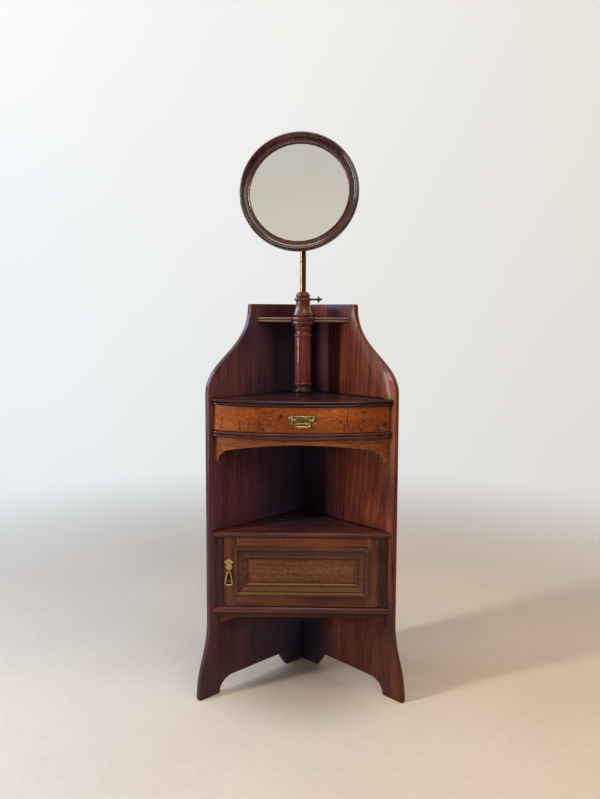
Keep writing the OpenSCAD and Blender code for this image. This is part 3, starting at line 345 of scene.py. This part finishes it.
def polished_wood(name, grain, dark, middle, light, heart=(0.06, 0.05), lean=0.055,
                  figure=0.18, streak=0.5, fibre=0.7, ripple=0.0, tick=0.2, pore=0.45,
                  cloud=0.5, roughness=0.34, coat=0.15, relief=0.2, corner_shade=None, marks=None,
                  shade_and_grime=0.006):
    """Wood whose grain runs along Z once its coordinates are turned by grain. figure to tick and
    cloud say how strongly each kind of marking shows, and pore how dark the pores are. relief is
    how far the grain stands up, gloom is what gloomed takes for the painted shade in the back
    corner, and grime is how far the painted shade and the dust in a quirk reach. marks adds what
    only this piece has."""
    material, tree = new_material(name)
    place = put(tree, "TexCoord").outputs["Object"]
    turned = put(tree, "Mapping", {"Vector": place, "Rotation": grain}).outputs[0]
    rings = growth_rings(tree, turned, heart, lean)
    strands = noise(tree, turned, (420.0, 420.0, 9.0), 5.0, 0.65)
    pores = between(tree, noise(tree, turned, (1500.0, 1500.0, 75.0), 1.5), 0.60, 0.72)
    wide_streaks = noise(tree, turned, (34.0, 34.0, 2.2))
    fine_streaks = noise(tree, turned, (120.0, 120.0, 5.0), 2.0)
    clouds = noise(tree, turned, (5.5, 5.5, 4.0))

    # Each kind of marking with its weight; the factors make up for how flat each noise is
    layers = [(rings, figure), (strands, 1.2 * fibre), (wide_streaks, 1.7 * streak),
              (fine_streaks, 1.6 * streak), (clouds, 1.6 * cloud)]
    if tick:
        ticks = noise(tree, turned, (900.0, 900.0, 130.0), 2.0)
        layers.append((ticks, 2.4 * tick))
    if ripple:
        leaning = put(tree, "Mapping", {"Vector": turned, "Rotation": (0.0, 0.9, 0.0)}).outputs[0]
        ripples = noise(tree, leaning, (480.0, 60.0, 90.0), 2.0)
        layers.append((ripples, 2.2 * ripple))
    tone = 0.5 - 0.5 * sum(weight for marking, weight in layers)
    for marking, weight in layers:
        tone = reckon(tree, "ADD", tone, reckon(tree, "MULTIPLY", marking, weight))
    shade = ramp(tree, tone, [(0.12, (*dark, 1.0)), (0.52, (*middle, 1.0)), (0.92, (*light, 1.0))])
    pore_colour = tuple(pore_shade * part for part in dark) + (1.0,)
    colour = mixed(tree, reckon(tree, "MULTIPLY", pores, pore), shade, pore_colour)
    height = reckon(tree, "SUBTRACT", reckon(tree, "MULTIPLY", strands, strand_height),
                    reckon(tree, "MULTIPLY", pores, pore_depth))

    if marks:
        colour, height = marks(tree, place, colour, height)
    if corner_shade:
        colour = with_corner_shade(tree, place, colour, *corner_shade)
    if shade_and_grime:
        colour = shaded_and_grimed(tree, colour, shade_and_grime)
    wear_and_highlight = noise(tree, turned, (16.0, 16.0, 16.0), 5.0)
    bump = put(tree, "Bump", {"Height": height, "Strength": relief, "Distance": grain_depth})
    polish = put(tree, "BsdfPrincipled", {
        "Base Color": colour, "Normal": bump.outputs[0],
        "Roughness": between(tree, wear_and_highlight, 0.3, 0.75, roughness - 0.07, roughness + 0.14),
        "Specular IOR Level": 0.14, "Coat Weight": coat, "Coat Roughness": 0.12})
    put(tree, "OutputMaterial", {"Surface": polish.outputs[0]})
    return material


def finish(piece, material):
    """Gives a piece one material all over."""
    piece.data.materials.clear()
    piece.data.materials.append(material)


def eased(node, body, material, width, angle=32.0):
    """The same piece with its arrises eased, as a maker takes them off with a plane. An arris is
    an edge that turns by more than the angle."""
    mesh = bpy.data.meshes.new(node + "_eased")
    work = bmesh.new()
    work.from_mesh(nodes[node].data)
    bmesh.ops.remove_doubles(work, verts=work.verts, dist=same_point)
    bmesh.ops.dissolve_limit(work, angle_limit=same_plane, verts=work.verts, edges=work.edges)
    work.to_mesh(mesh)
    work.free()
    piece = bpy.data.objects.new(node + "_eased", mesh)
    bpy.context.scene.collection.objects.link(piece)
    ease = piece.modifiers.new("eased", "BEVEL")
    ease.width = width
    ease.segments = 2
    ease.limit_method = "ANGLE"
    ease.angle_limit = math.radians(angle)
    ease.harden_normals = True
    mesh.shade_smooth()
    finish(piece, material)
    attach(piece, body)
    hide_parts(node)


def shaded_foot(tree, place, colour, height):
    """Painted shade low on the boards, darkest at the feet by the floor."""
    up = coordinate(tree, place, "Z")
    foot_shading = between(tree, up, 0.02, 0.30, 0.55, 0.0, soft=True)
    return mixed(tree, foot_shading, colour, foot_shade), height


# The left board is a darker, purpler copy of the right: painted shade and a painted blue sheen of
# the sky.
left_board_shade_and_sheen = polished_wood(
    "left_board_mahogany_shade_and_sheen", left_board_grain, (0.032, 0.011, 0.015), (0.096, 0.034, 0.043),
    (0.20, 0.070, 0.064), heart=(-0.15, 0.09), lean=0.07, figure=0.14, streak=0.32,
    cloud=0.8, corner_shade=(0.04, 0.30, 0.10), marks=shaded_foot)
right_board_wood = polished_wood(
    "right_board_mahogany", right_board_grain, (0.036, 0.008, 0.007), (0.132, 0.028, 0.016),
    (0.33, 0.080, 0.032), heart=(-0.21, 0.035), lean=0.05, figure=0.26, streak=0.32,
    cloud=0.8, corner_shade=(0.03, 0.17, 0.12), marks=shaded_foot)
eased("left_side", "carcass", left_board_shade_and_sheen, width=0.0018)
eased("right_side", "carcass", right_board_wood, width=0.0018)

# ---------------------------------------------------------------- shelves
# Mahogany boards, grain from side to side, their moulded front edges worked in the solid. They
# slide into grooves in the side boards.

level_grain = (0.0, -math.radians(90.0), 0.0)

# Towards the back corner the shelves get the same painted shade as the boards.
shelf_wood = polished_wood(
    "shelf_mahogany", level_grain, (0.014, 0.005, 0.006), (0.048, 0.016, 0.014),
    (0.12, 0.044, 0.032), heart=(0.05, 0.12), lean=0.04, roughness=0.22, coat=0.35,
    corner_shade=(0.05, 0.30, 0.15))
nose_wood = polished_wood(
    "nose_mahogany", level_grain, (0.024, 0.007, 0.006), (0.078, 0.020, 0.015),
    (0.16, 0.046, 0.030), heart=(0.05, 0.12), lean=0.04, roughness=0.24, coat=0.45,
    corner_shade=(0.05, 0.30, 0.12))
# The small shelf's wood is much paler: partly a painted highlight along its nose, partly a rubbed,
# paler edge.
collar_shelf_wood = polished_wood(
    "collar_shelf_mahogany", level_grain, (0.070, 0.032, 0.025), (0.200, 0.098, 0.074),
    (0.34, 0.180, 0.135), heart=(0.05, 0.12), lean=0.04, roughness=0.22, coat=1.0, relief=0.05)
eased("drawer_top", "carcass", shelf_wood, width=0.0006)
for name in ("drawer_bed", "cupboard_top", "cupboard_floor"):
    eased(name, "carcass", nose_wood, width=0.0006)
eased("collar_shelf", "carcass", collar_shelf_wood, width=0.0014)

# ---------------------------------------------------------------- aprons
# Thin shaped boards under the drawer and the cupboard. The upper one is bent to the bow of the
# drawer and is of a lighter, redder wood.

upper_apron_wood = polished_wood(
    "upper_apron_mahogany", level_grain, (0.085, 0.023, 0.010), (0.220, 0.060, 0.022),
    (0.42, 0.145, 0.046), heart=(0.03, 0.16), lean=0.03, streak=0.35)
lower_apron_wood = polished_wood(
    "lower_apron_mahogany", level_grain, (0.026, 0.007, 0.006), (0.072, 0.020, 0.014),
    (0.14, 0.042, 0.028), heart=(0.03, 0.2), lean=0.03, streak=0.35, coat=0.0)
eased("upper_apron", "carcass", upper_apron_wood, width=0.0008)
eased("lower_apron", "carcass", lower_apron_wood, width=0.0008)

# ---------------------------------------------------------------- column
# Turned in three lengths from mahogany: the shaft, the ring let into the small shelf and the
# cap above it. The turned work is polished brighter than the boards.

upright_grain = (0.0, 0.0, 0.0)
column_black = (0.010, 0.006, 0.007, 1.0)
column_base = (0.800, 0.812)


def black_base(tree, place, colour, height):
    """The column is much darker below the top of its moulded base."""
    up = coordinate(tree, place, "Z")
    return mixed(tree, between(tree, up, *column_base, 0.8, 0.0), colour, column_black), height


turned_wood = polished_wood(
    "turned_mahogany", upright_grain, (0.036, 0.009, 0.009), (0.112, 0.026, 0.020),
    (0.26, 0.066, 0.038), heart=(0.04, -0.11), lean=0.02, roughness=0.22, coat=0.6,
    relief=0.03, shade_and_grime=0.004, marks=black_base)
for name in ("column_lower", "collar_boss", "column_upper"):
    finish(nodes[name], turned_wood)

# ---------------------------------------------------------------- drawer front
# A bowed front veneered in a fine rippled wood, with old worm holes, dark knots, a crack on
# the right where two sheets of veneer meet, and stains along its lower edge.

# Each mark: its middle across and up, its half width and half height, and how dark it is
drawer_marks = [
    (-0.0704, 0.7535, 0.0034, 0.0034, 0.85), (-0.0507, 0.7400, 0.0060, 0.0062, 0.75),
    (-0.0545, 0.7310, 0.0022, 0.0052, 0.50), (-0.1997, 0.7220, 0.0024, 0.0170, 0.55),
    (-0.2000, 0.7080, 0.0065, 0.0045, 0.50), (-0.1532, 0.7160, 0.0022, 0.0150, 0.75),
    (-0.1532, 0.7050, 0.0045, 0.0040, 0.80), (-0.1305, 0.7160, 0.0020, 0.0190, 0.60),
    (-0.1045, 0.7120, 0.0022, 0.0170, 0.65), (-0.0950, 0.7070, 0.0050, 0.0060, 0.85),
    (0.0954, 0.7265, 0.0030, 0.0048, 0.95), (0.1042, 0.7195, 0.0026, 0.0042, 0.90),
    (0.1048, 0.7075, 0.0018, 0.0034, 0.80), (0.1025, 0.7540, 0.0020, 0.0030, 0.45),
    (0.1132, 0.7320, 0.0017, 0.0340, 1.00), (0.1538, 0.7490, 0.0042, 0.0044, 0.85),
    (0.1520, 0.7290, 0.0038, 0.0044, 0.85), (0.1465, 0.7060, 0.0052, 0.0030, 0.85),
    (0.1720, 0.7400, 0.0022, 0.0060, 0.60), (0.1880, 0.7450, 0.0026, 0.0030, 0.40),
    (0.1850, 0.7150, 0.0014, 0.0100, 0.75), (0.1895, 0.7130, 0.0014, 0.0090, 0.80),
    (0.2060, 0.7160, 0.0090, 0.0060, 0.65), (0.1880, 0.7045, 0.0120, 0.0028, 0.70),
]
mark_depth = 1.5
marked_veneer = (0.022, 0.007, 0.005, 1.0)
crack_lip = (0.1156, 0.7320, 0.0009, 0.0330)
fresh_veneer = (0.62, 0.26, 0.08, 1.0)
ragged_by = 0.004


def oval(tree, place, x, z, half_width, half_height):
    """1 in the middle of an oval on an upright face and 0 outside it, with a soft edge."""
    moved = put(tree, "Mapping", {
        "Vector": place, "Location": (-x / half_width, 0.0, -z / half_height),
        "Scale": (1.0 / half_width, 0.0, 1.0 / half_height)}).outputs[0]
    return between(tree, length(tree, moved), 0.45, 1.15, 1.0, 0.0, soft=True)


def worn_veneer(tree, place, colour, height):
    """The marks, sunk and dark with ragged edges, and the pale lip of the crack."""
    ragged = put(tree, "TexNoise", {"Vector": place, "Scale": 260.0, "Detail": 3.0})
    ragged = vector(tree, "SUBTRACT", ragged.outputs["Color"], (0.5, 0.5, 0.5))
    ragged = put(tree, "VectorMath", {0: ragged, "Scale": ragged_by},
                 operation="SCALE").outputs["Vector"]
    place = vector(tree, "ADD", place, ragged)
    mask = 0.0
    for x, z, half_width, half_height, strength in drawer_marks:
        one = reckon(tree, "MULTIPLY", oval(tree, place, x, z, half_width, half_height), strength)
        mask = reckon(tree, "MAXIMUM", mask, one)
    colour = mixed(tree, mask, colour, marked_veneer)
    lip = oval(tree, place, *crack_lip)
    colour = mixed(tree, reckon(tree, "MULTIPLY", lip, 0.3), colour, fresh_veneer)
    return colour, reckon(tree, "SUBTRACT", height, reckon(tree, "MULTIPLY", mask, mark_depth))


drawer_wood = polished_wood(
    "drawer_veneer", level_grain, (0.115, 0.023, 0.006), (0.325, 0.078, 0.016),
    (0.60, 0.195, 0.044), heart=(0.02, 0.10), lean=0.02, figure=0.08, streak=0.25, fibre=0.35,
    ripple=0.35, tick=0.3, cloud=0.9, coat=0.18, marks=worn_veneer)
eased("drawer_front", "drawer", drawer_wood, width=0.0008)

# ---------------------------------------------------------------- inner pieces
# The drawer's sides, back and bottom, its runners and stops, and the blocks and strip inside
# the cupboard are plain pine, planed and left bare.

pine = polished_wood(
    "bare_pine", level_grain, (0.27, 0.16, 0.07), (0.42, 0.29, 0.15), (0.54, 0.40, 0.23),
    heart=(0.02, 0.14), lean=0.03, pore=0.1, roughness=0.6, coat=0.0)
for name in ("drawer_side_left", "drawer_side_right", "drawer_back", "drawer_bottom",
             "drawer_runners", "drawer_guide", "drawer_stops", "apron_blocks", "door_stop"):
    finish(nodes[name], pine)

# ---------------------------------------------------------------- drawer handle
# A thin pierced brass plate bent to the bow, two turned posts and a swinging bail with a barrel
# grip. The plate's ground has gone brown; the cast beads and lattice on it are rubbed bright.

# The bow of the drawer's face, and how far behind the back corner its centre lies
bow_radius = 0.559
bow_middle = 0.272
# The middle of the plate, how far its face stands out, and how far the beads stand from that
handle_x = 0.003
handle_z = 0.7324
plate_out = 0.0018
bead_out = 0.0002
bead_sides = 8
bead_end = 0.45
stud_height = 0.6
# The straight beads above and below: their height, half length, steps and thickness
rails = [(0.0091, 0.0265, 10, 0.00065), (0.0072, 0.0165, 6, 0.00035)]
# The scrolls, ends and lattice, measured from the plate's middle, with how thick their beads are
scroll_middle = (0.02705, 0.0064)
scroll_radius = 0.0028
scroll_bead = 0.0006
scroll_stud = 0.0016
plate_end = [(0.0287, 0.0086), (0.0318, 0.0080), (0.0332, 0.0050), (0.0334, 0.0),
             (0.0332, -0.0050), (0.0318, -0.0080), (0.0287, -0.0086)]
plate_end_bead = 0.0009
lattice_end = [(0.0183, -0.0068), (0.0187, 0.0), (0.0183, 0.0068)]
lattice_end_bead = 0.0007
cells = 5
cell = 0.0066
cell_bead = 0.00048
cell_stud = 0.00095
# The bail's collars: how far each lies to the right of the middle, and its radius
collars = [(-0.0098, 0.0024), (-0.0078, 0.0029), (0.0078, 0.0029), (0.0098, 0.0024)]
collar_flatness = 0.45
grip_rise = 0.0021


def old_metal(name, bright, dull, roughness=0.28, tarnish=0.5, coarse=60.0, relief=0.15,
              spotted=1.0, shade_and_grime=0.0, marks=None):
    """Metal with clouds and spots of tarnish; coarse is how close together they are."""
    material, tree = new_material(name)
    place = put(tree, "TexCoord").outputs["Object"]
    cloud = noise(tree, place, (coarse, coarse, coarse), 5.0, 0.6)
    spots = between(tree, noise(tree, place, (coarse * 7.0,) * 3, 2.0), 0.58, 0.74)
    mask = reckon(tree, "ADD", between(tree, cloud, 0.40, 0.72),
                  reckon(tree, "MULTIPLY", spots, spotted), clamp=True)
    mask = reckon(tree, "MULTIPLY", mask, tarnish)
    colour = mixed(tree, mask, (*bright, 1.0), (*dull, 1.0))
    if marks:
        colour = marks(tree, place, colour)
    if shade_and_grime:
        colour = shaded_and_grimed(tree, colour, shade_and_grime)
    bump = put(tree, "Bump", {"Height": spots, "Strength": relief, "Distance": 0.0002})
    metal = put(tree, "BsdfPrincipled", {
        "Base Color": colour, "Metallic": 1.0, "Normal": bump.outputs[0],
        "Roughness": between(tree, mask, 0.0, 1.0, roughness, roughness + 0.22)})
    put(tree, "OutputMaterial", {"Surface": metal.outputs[0]})
    return material


def on_plate(x, z):
    """A point on the cast work, from the middle of the plate, which follows the drawer's bow."""
    x += handle_x
    deep = math.sqrt((bow_radius + plate_out + bead_out) ** 2 - x ** 2) - bow_middle
    return from_corner(x, deep, handle_z + z)


def drawn_on(surface, points, side):
    """Points drawn on a plate's right half, or on its left where side is -1."""
    return [surface(side * x, z) for x, z in points]


def arc_on(surface, x, z, radius, start, end, steps):
    """Points along an arc on a plate, between two angles in degrees."""
    angles = [math.radians(start + (end - start) * i / steps) for i in range(steps + 1)]
    return [surface(x + radius * math.cos(a), z + radius * math.sin(a)) for a in angles]


def strand(work, points, radius):
    """A round bead of metal along a line of points, its ends rounded over."""
    last = len(points) - 1
    rings = []
    for i, point in enumerate(points):
        along = points[min(i + 1, last)] - points[max(i - 1, 0)]
        along.normalize()
        side = along.cross(Vector((0.0, 1.0, 0.0))).normalized()
        up = side.cross(along)
        size = radius * (bead_end if i in (0, last) else 1.0)
        angles = [2.0 * math.pi * k / bead_sides for k in range(bead_sides)]
        rings.append([work.verts.new(point + size * (math.cos(a) * side + math.sin(a) * up))
                      for a in angles])
    for ring, after in zip(rings, rings[1:]):
        for k in range(bead_sides):
            n = (k + 1) % bead_sides
            work.faces.new((ring[k], ring[n], after[n], after[k]))
    work.faces.new(rings[0][::-1])
    work.faces.new(rings[-1])


def stud(work, point, radius):
    """A small cast boss, domed towards the front."""
    made = bmesh.ops.create_icosphere(work, subdivisions=2, radius=radius)["verts"]
    for vert in made:
        vert.co = Vector((vert.co.x, vert.co.y * stud_height, vert.co.z)) + point


def cast_work(name, work, body, material):
    """Makes one piece of the cast beads and bosses in hand, and fixes it to a body."""
    mesh = bpy.data.meshes.new(name)
    bmesh.ops.recalc_face_normals(work, faces=work.faces)
    work.to_mesh(mesh)
    work.free()
    mesh.shade_smooth()
    piece = bpy.data.objects.new(name, mesh)
    bpy.context.scene.collection.objects.link(piece)
    finish(piece, material)
    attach(piece, body)


brown_brass = old_metal("browned_brass", (0.20, 0.13, 0.045), (0.050, 0.028, 0.012),
                        roughness=0.36, tarnish=0.9, coarse=110.0, shade_and_grime=0.002)
cast_brass = old_metal("cast_brass", (0.66, 0.50, 0.20), (0.20, 0.12, 0.035), tarnish=0.75,
                       coarse=120.0, shade_and_grime=0.0015)
bright_brass = old_metal("rubbed_brass", (0.92, 0.72, 0.36), (0.45, 0.29, 0.10), tarnish=0.6,
                         roughness=0.24, coarse=90.0, shade_and_grime=0.0015)
post_brass = old_metal("post_brass", (0.42, 0.29, 0.11), (0.12, 0.07, 0.025), tarnish=0.8,
                       roughness=0.30, coarse=90.0, shade_and_grime=0.003)
finish(nodes["drawer_plate"], brown_brass)
finish(nodes["drawer_posts"], post_brass)
finish(nodes["drawer_bail"], cast_brass)

work = bmesh.new()
for up in (-1.0, 1.0):
    for z, half_length, steps, radius in rails:
        strand(work, [on_plate(half_length * (2.0 * i / steps - 1.0), up * z)
                      for i in range(steps + 1)], radius)
for side in (-1.0, 1.0):
    for up in (-1.0, 1.0):
        middle = (side * scroll_middle[0], up * scroll_middle[1])
        strand(work, arc_on(on_plate, *middle, scroll_radius, 0.0, 340.0, 14), scroll_bead)
        stud(work, on_plate(*middle), scroll_stud)
    strand(work, drawn_on(on_plate, plate_end, side), plate_end_bead)
    strand(work, drawn_on(on_plate, lattice_end, side), lattice_end_bead)
for i in range(cells):
    left = cell * (i - cells / 2)
    for slope in (-1.0, 1.0):
        strand(work, [on_plate(left, slope * cell), on_plate(left + cell / 2, 0.0),
                      on_plate(left + cell, -slope * cell)], cell_bead)
    stud(work, on_plate(left + cell / 2, 0.0), cell_stud)
cast_work("drawer_plate_lattice", work, "drawer", bright_brass)

work = bmesh.new()
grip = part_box("drawer_bail")
grip_z = grip[0].z + grip_rise
grip_y = (grip[0].y + grip[1].y) / 2
for x, radius in collars:
    made = bmesh.ops.create_icosphere(work, subdivisions=3, radius=radius)["verts"]
    for vert in made:
        vert.co = Vector((vert.co.x * collar_flatness + handle_x + x,
                          vert.co.y + grip_y, vert.co.z + grip_z))
cast_work("drawer_bail_collars", work, "bail", bright_brass)

# ---------------------------------------------------------------- cupboard front
# A framed door between two narrow posts, all in mahogany: stiles upright, rails across, the top
# one with a pair of small knots, and a sunk panel of a golden wood inside a mitred moulding.

# Each knot: its middle across and up, and its half width and half height
rail_knots = [(-0.0385, 0.3720, 0.0050, 0.0038), (0.0060, 0.3755, 0.0042, 0.0036)]
knot_colour = (0.020, 0.007, 0.005, 1.0)
ledge_highlight = (0.32, 0.160, 0.058, 1.0)
ledge_shade = (0.014, 0.006, 0.005, 1.0)


def two_knots(tree, place, colour, height):
    """The two small knots, both in the top rail."""
    knots = [oval(tree, place, *knot) for knot in rail_knots]
    mask = reckon(tree, "MULTIPLY", reckon(tree, "MAXIMUM", *knots), 0.75)
    return mixed(tree, mask, colour, knot_colour), height


def lit_and_shaded_ledges(tree, place, colour, height):
    """Ledges that face up get a painted golden highlight, all but the topmost. Quirks get a
    painted shade by ambient occlusion, and the faces turned down a painted shade too."""
    facing = coordinate(tree, put(tree, "NewGeometry").outputs["Normal"], "Z")
    up = coordinate(tree, place, "Z")
    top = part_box("door_moulding")[1].z
    wear_and_highlight = reckon(tree, "MULTIPLY", between(tree, facing, 0.15, 0.75, 0.0, 0.65),
                    between(tree, up, top - 0.010, top - 0.006, 1.0, 0.15))
    colour = mixed(tree, wear_and_highlight, colour, ledge_highlight)
    occluded = put(tree, "AmbientOcclusion", {"Distance": 0.006}, samples=6).outputs["AO"]
    colour = mixed(tree, between(tree, occluded, 0.55, 0.95, 0.85, 0.0), colour, ledge_shade)
    return mixed(tree, between(tree, facing, -0.60, -0.15, 0.75, 0.0), colour,
                 ledge_shade), height


post_wood = polished_wood(
    "post_mahogany", upright_grain, (0.020, 0.007, 0.007), (0.056, 0.018, 0.015),
    (0.105, 0.036, 0.026), heart=(0.05, 0.10), lean=0.02)
stile_wood = polished_wood(
    "stile_mahogany", upright_grain, (0.042, 0.013, 0.008), (0.118, 0.036, 0.019),
    (0.22, 0.072, 0.035), heart=(0.05, 0.10), lean=0.02, tick=0.3)
rail_wood = polished_wood(
    "rail_mahogany", level_grain, (0.045, 0.012, 0.006), (0.125, 0.034, 0.014),
    (0.23, 0.070, 0.028), heart=(0.05, 0.10), lean=0.02, tick=0.3, marks=two_knots)
moulding_wood = polished_wood(
    "moulding_mahogany", level_grain, (0.034, 0.010, 0.005), (0.092, 0.028, 0.013),
    (0.170, 0.057, 0.024), heart=(0.05, 0.10), lean=0.02, figure=0.08, streak=0.25,
    roughness=0.26, coat=0.3, relief=0.03, shade_and_grime=0.010, marks=lit_and_shaded_ledges)
panel_wood = polished_wood(
    "panel_wood", level_grain, (0.050, 0.015, 0.006), (0.130, 0.044, 0.015),
    (0.26, 0.105, 0.038), heart=(0.02, 0.22), lean=0.01, figure=0.05, streak=0.25, fibre=0.4,
    tick=0.7, pore=0.9)
for name in ("left_post", "right_post"):
    eased(name, "carcass", post_wood, width=0.0006)
for name in ("door_stile_left", "door_stile_right"):
    eased(name, "door", stile_wood, width=0.0006)
for name in ("door_rail_top", "door_rail_bottom"):
    eased(name, "door", rail_wood, width=0.0005)
finish(nodes["door_moulding"], moulding_wood)
finish(nodes["door_panel"], panel_wood)

# ---------------------------------------------------------------- hinges and lock
# Small drawn brass butts, brown with age, on steel pins, and a lock in a steel case let into the
# stile behind its keyhole. The lock's bolt and keep, and the bush in the column's cap, are brass.

hinge_brass = old_metal("hinge_brass", (0.12, 0.075, 0.035), (0.03, 0.018, 0.010),
                        roughness=0.42)
dark_steel = old_metal("dark_steel", (0.10, 0.08, 0.07), (0.03, 0.022, 0.018), roughness=0.38)
for name in ("fixed_hinge_leaves", "fixed_hinge_screws", "moving_hinge_leaves",
             "moving_hinge_screws"):
    finish(nodes[name], hinge_brass)
for name in ("lock_keep", "lock_bolt", "rod_bush"):
    finish(nodes[name], brown_brass)
for name in ("hinge_pins", "lock_case"):
    finish(nodes[name], dark_steel)

# ---------------------------------------------------------------- door handle
# A cast brass plate on the left stile with two small screws, a leaf at its head, a drop ring
# over a round tongue, and the keyhole in the tongue. Its beads are rubbed bright.

tongue_shade = (0.030, 0.018, 0.009, 1.0)
tongue_top = (0.334, 0.339)
# How far the door's face lies in front of the back corner, and the beads in front of that
door_front = 0.241
door_bead_out = 0.0018
door_handle_x = -0.1855
leaf_bead = 0.0006
fine_bead = 0.0005
# Each arc: its middle across and up, its radius, its two angles and its steps
leaf_head = (0.0, 0.361, 0.0045, -10.0, 190.0, 12)
leaf_foot = (0.0, 0.345, 0.0076, 205.0, 335.0, 12)
keyhole_rim = (0.0, 0.306, 0.0037, -50.0, 230.0, 14)
# Each stud on the leaf: its height and its radius
leaf_studs = [(0.3515, 0.0015), (0.3450, 0.0019)]
# The right half of each line of the leaf, as distances from its middle and heights
leaf_edge = [(0.0044, 0.3602), (0.0060, 0.3535), (0.0052, 0.3505), (0.0070, 0.3470),
             (0.0072, 0.3430)]
upper_vein = [(0.0006, 0.3530), (0.0022, 0.3565), (0.0014, 0.3600), (0.0, 0.3630)]
lower_vein = [(0.0010, 0.3505), (0.0036, 0.3470), (0.0030, 0.3420), (0.0, 0.3395)]


def shaded_tongue(tree, place, colour):
    """The tongue is darker than the leaf above it, a painted shade behind the drop ring."""
    up = coordinate(tree, place, "Z")
    return mixed(tree, between(tree, up, *tongue_top), tongue_shade, colour)


def on_door(x, z):
    """A point on the plate's cast work, from the plate's middle line and at a height."""
    return from_corner(door_handle_x + x, door_front + door_bead_out, z)


old_gold = old_metal("old_gold_brass", (0.60, 0.42, 0.13), (0.20, 0.12, 0.03), tarnish=0.8,
                     roughness=0.34, coarse=140.0, shade_and_grime=0.002, marks=shaded_tongue)
finish(nodes["door_plate"], old_gold)
finish(nodes["door_plate_screws"], bright_brass)
finish(nodes["door_drop"], cast_brass)

work = bmesh.new()
strand(work, arc_on(on_door, *leaf_head), leaf_bead)
strand(work, arc_on(on_door, *leaf_foot), leaf_bead)
for side in (-1.0, 1.0):
    strand(work, drawn_on(on_door, leaf_edge, side), leaf_bead)
    strand(work, drawn_on(on_door, upper_vein, side), leaf_bead)
    strand(work, drawn_on(on_door, lower_vein, side), fine_bead)
for z, radius in leaf_studs:
    stud(work, on_door(0.0, z), radius)
strand(work, arc_on(on_door, *keyhole_rim), fine_bead)
cast_work("door_plate_leaf", work, "door", bright_brass)

# ---------------------------------------------------------------- rod and thumbscrew
# A drawn brass rod, polished by sliding, with a cast fork on top that holds the mirror's flange
# by a steel pin, and a blackened steel thumbscrew that grips it through the column's cap.

drawn_brass = old_metal("drawn_brass", (0.50, 0.27, 0.065), (0.25, 0.125, 0.035), roughness=0.18,
                        tarnish=0.4, coarse=12.0, relief=0.0, spotted=0.0)
for name in ("rod", "rod_head", "mirror_flange", "flange_screws"):
    finish(nodes[name], drawn_brass)
for name in ("pivot_screw", "thumbscrew"):
    finish(nodes[name], dark_steel)

# ---------------------------------------------------------------- mirror
# A ring turned from mahogany with a bead outside and a hollow inside, holding a silvered glass
# whose silver has clouded a little, closed behind by a thin pine board.

low_reflection = (1.0, 0.98, 0.93, 1.0)
high_reflection = (0.90, 0.90, 0.91, 1.0)
clouded_silver = (0.84, 0.83, 0.80, 1.0)
lost_silver = (0.40, 0.37, 0.32, 1.0)
# The heights between which the glass's painted reflection of the room turns from cream to grey
reflection_turns = (1.17, 1.36)

frame_wood = polished_wood(
    "frame_mahogany", upright_grain, (0.016, 0.005, 0.006), (0.050, 0.014, 0.014),
    (0.110, 0.036, 0.030), heart=(0.04, 0.16), lean=0.05, figure=0.1, roughness=0.20, coat=1.0,
    pore=0.1, relief=0.0, shade_and_grime=0.0)
eased("mirror_frame", "mirror", frame_wood, width=0.0003, angle=25.0)
finish(nodes["mirror_back"], pine)

silver, tree = new_material("silvered_glass")
place = put(tree, "TexCoord").outputs["Object"]
haze = noise(tree, place, (9.0, 9.0, 9.0), 4.0)
up = coordinate(tree, place, "Z")
# The glass carries a painted reflection of the room, cream below and grey above, then clouds and
# specks of lost silver.
reflection_and_clouding = mixed(tree, between(tree, up, *reflection_turns, soft=True), low_reflection, high_reflection)
reflection_and_clouding = mixed(tree, between(tree, haze, 0.35, 0.75, 0.0, 0.35), reflection_and_clouding, clouded_silver)
specks = between(tree, noise(tree, place, (260.0, 260.0, 260.0), 2.0), 0.70, 0.78, 0.0, 0.35)
reflection_and_clouding = mixed(tree, specks, reflection_and_clouding, lost_silver)
shine = put(tree, "BsdfPrincipled", {"Base Color": reflection_and_clouding, "Metallic": 1.0,
                                     "Roughness": between(tree, haze, 0.3, 0.7, 0.03, 0.07)})
put(tree, "OutputMaterial", {"Surface": shine.outputs[0]})
finish(nodes["mirror_glass"], silver)
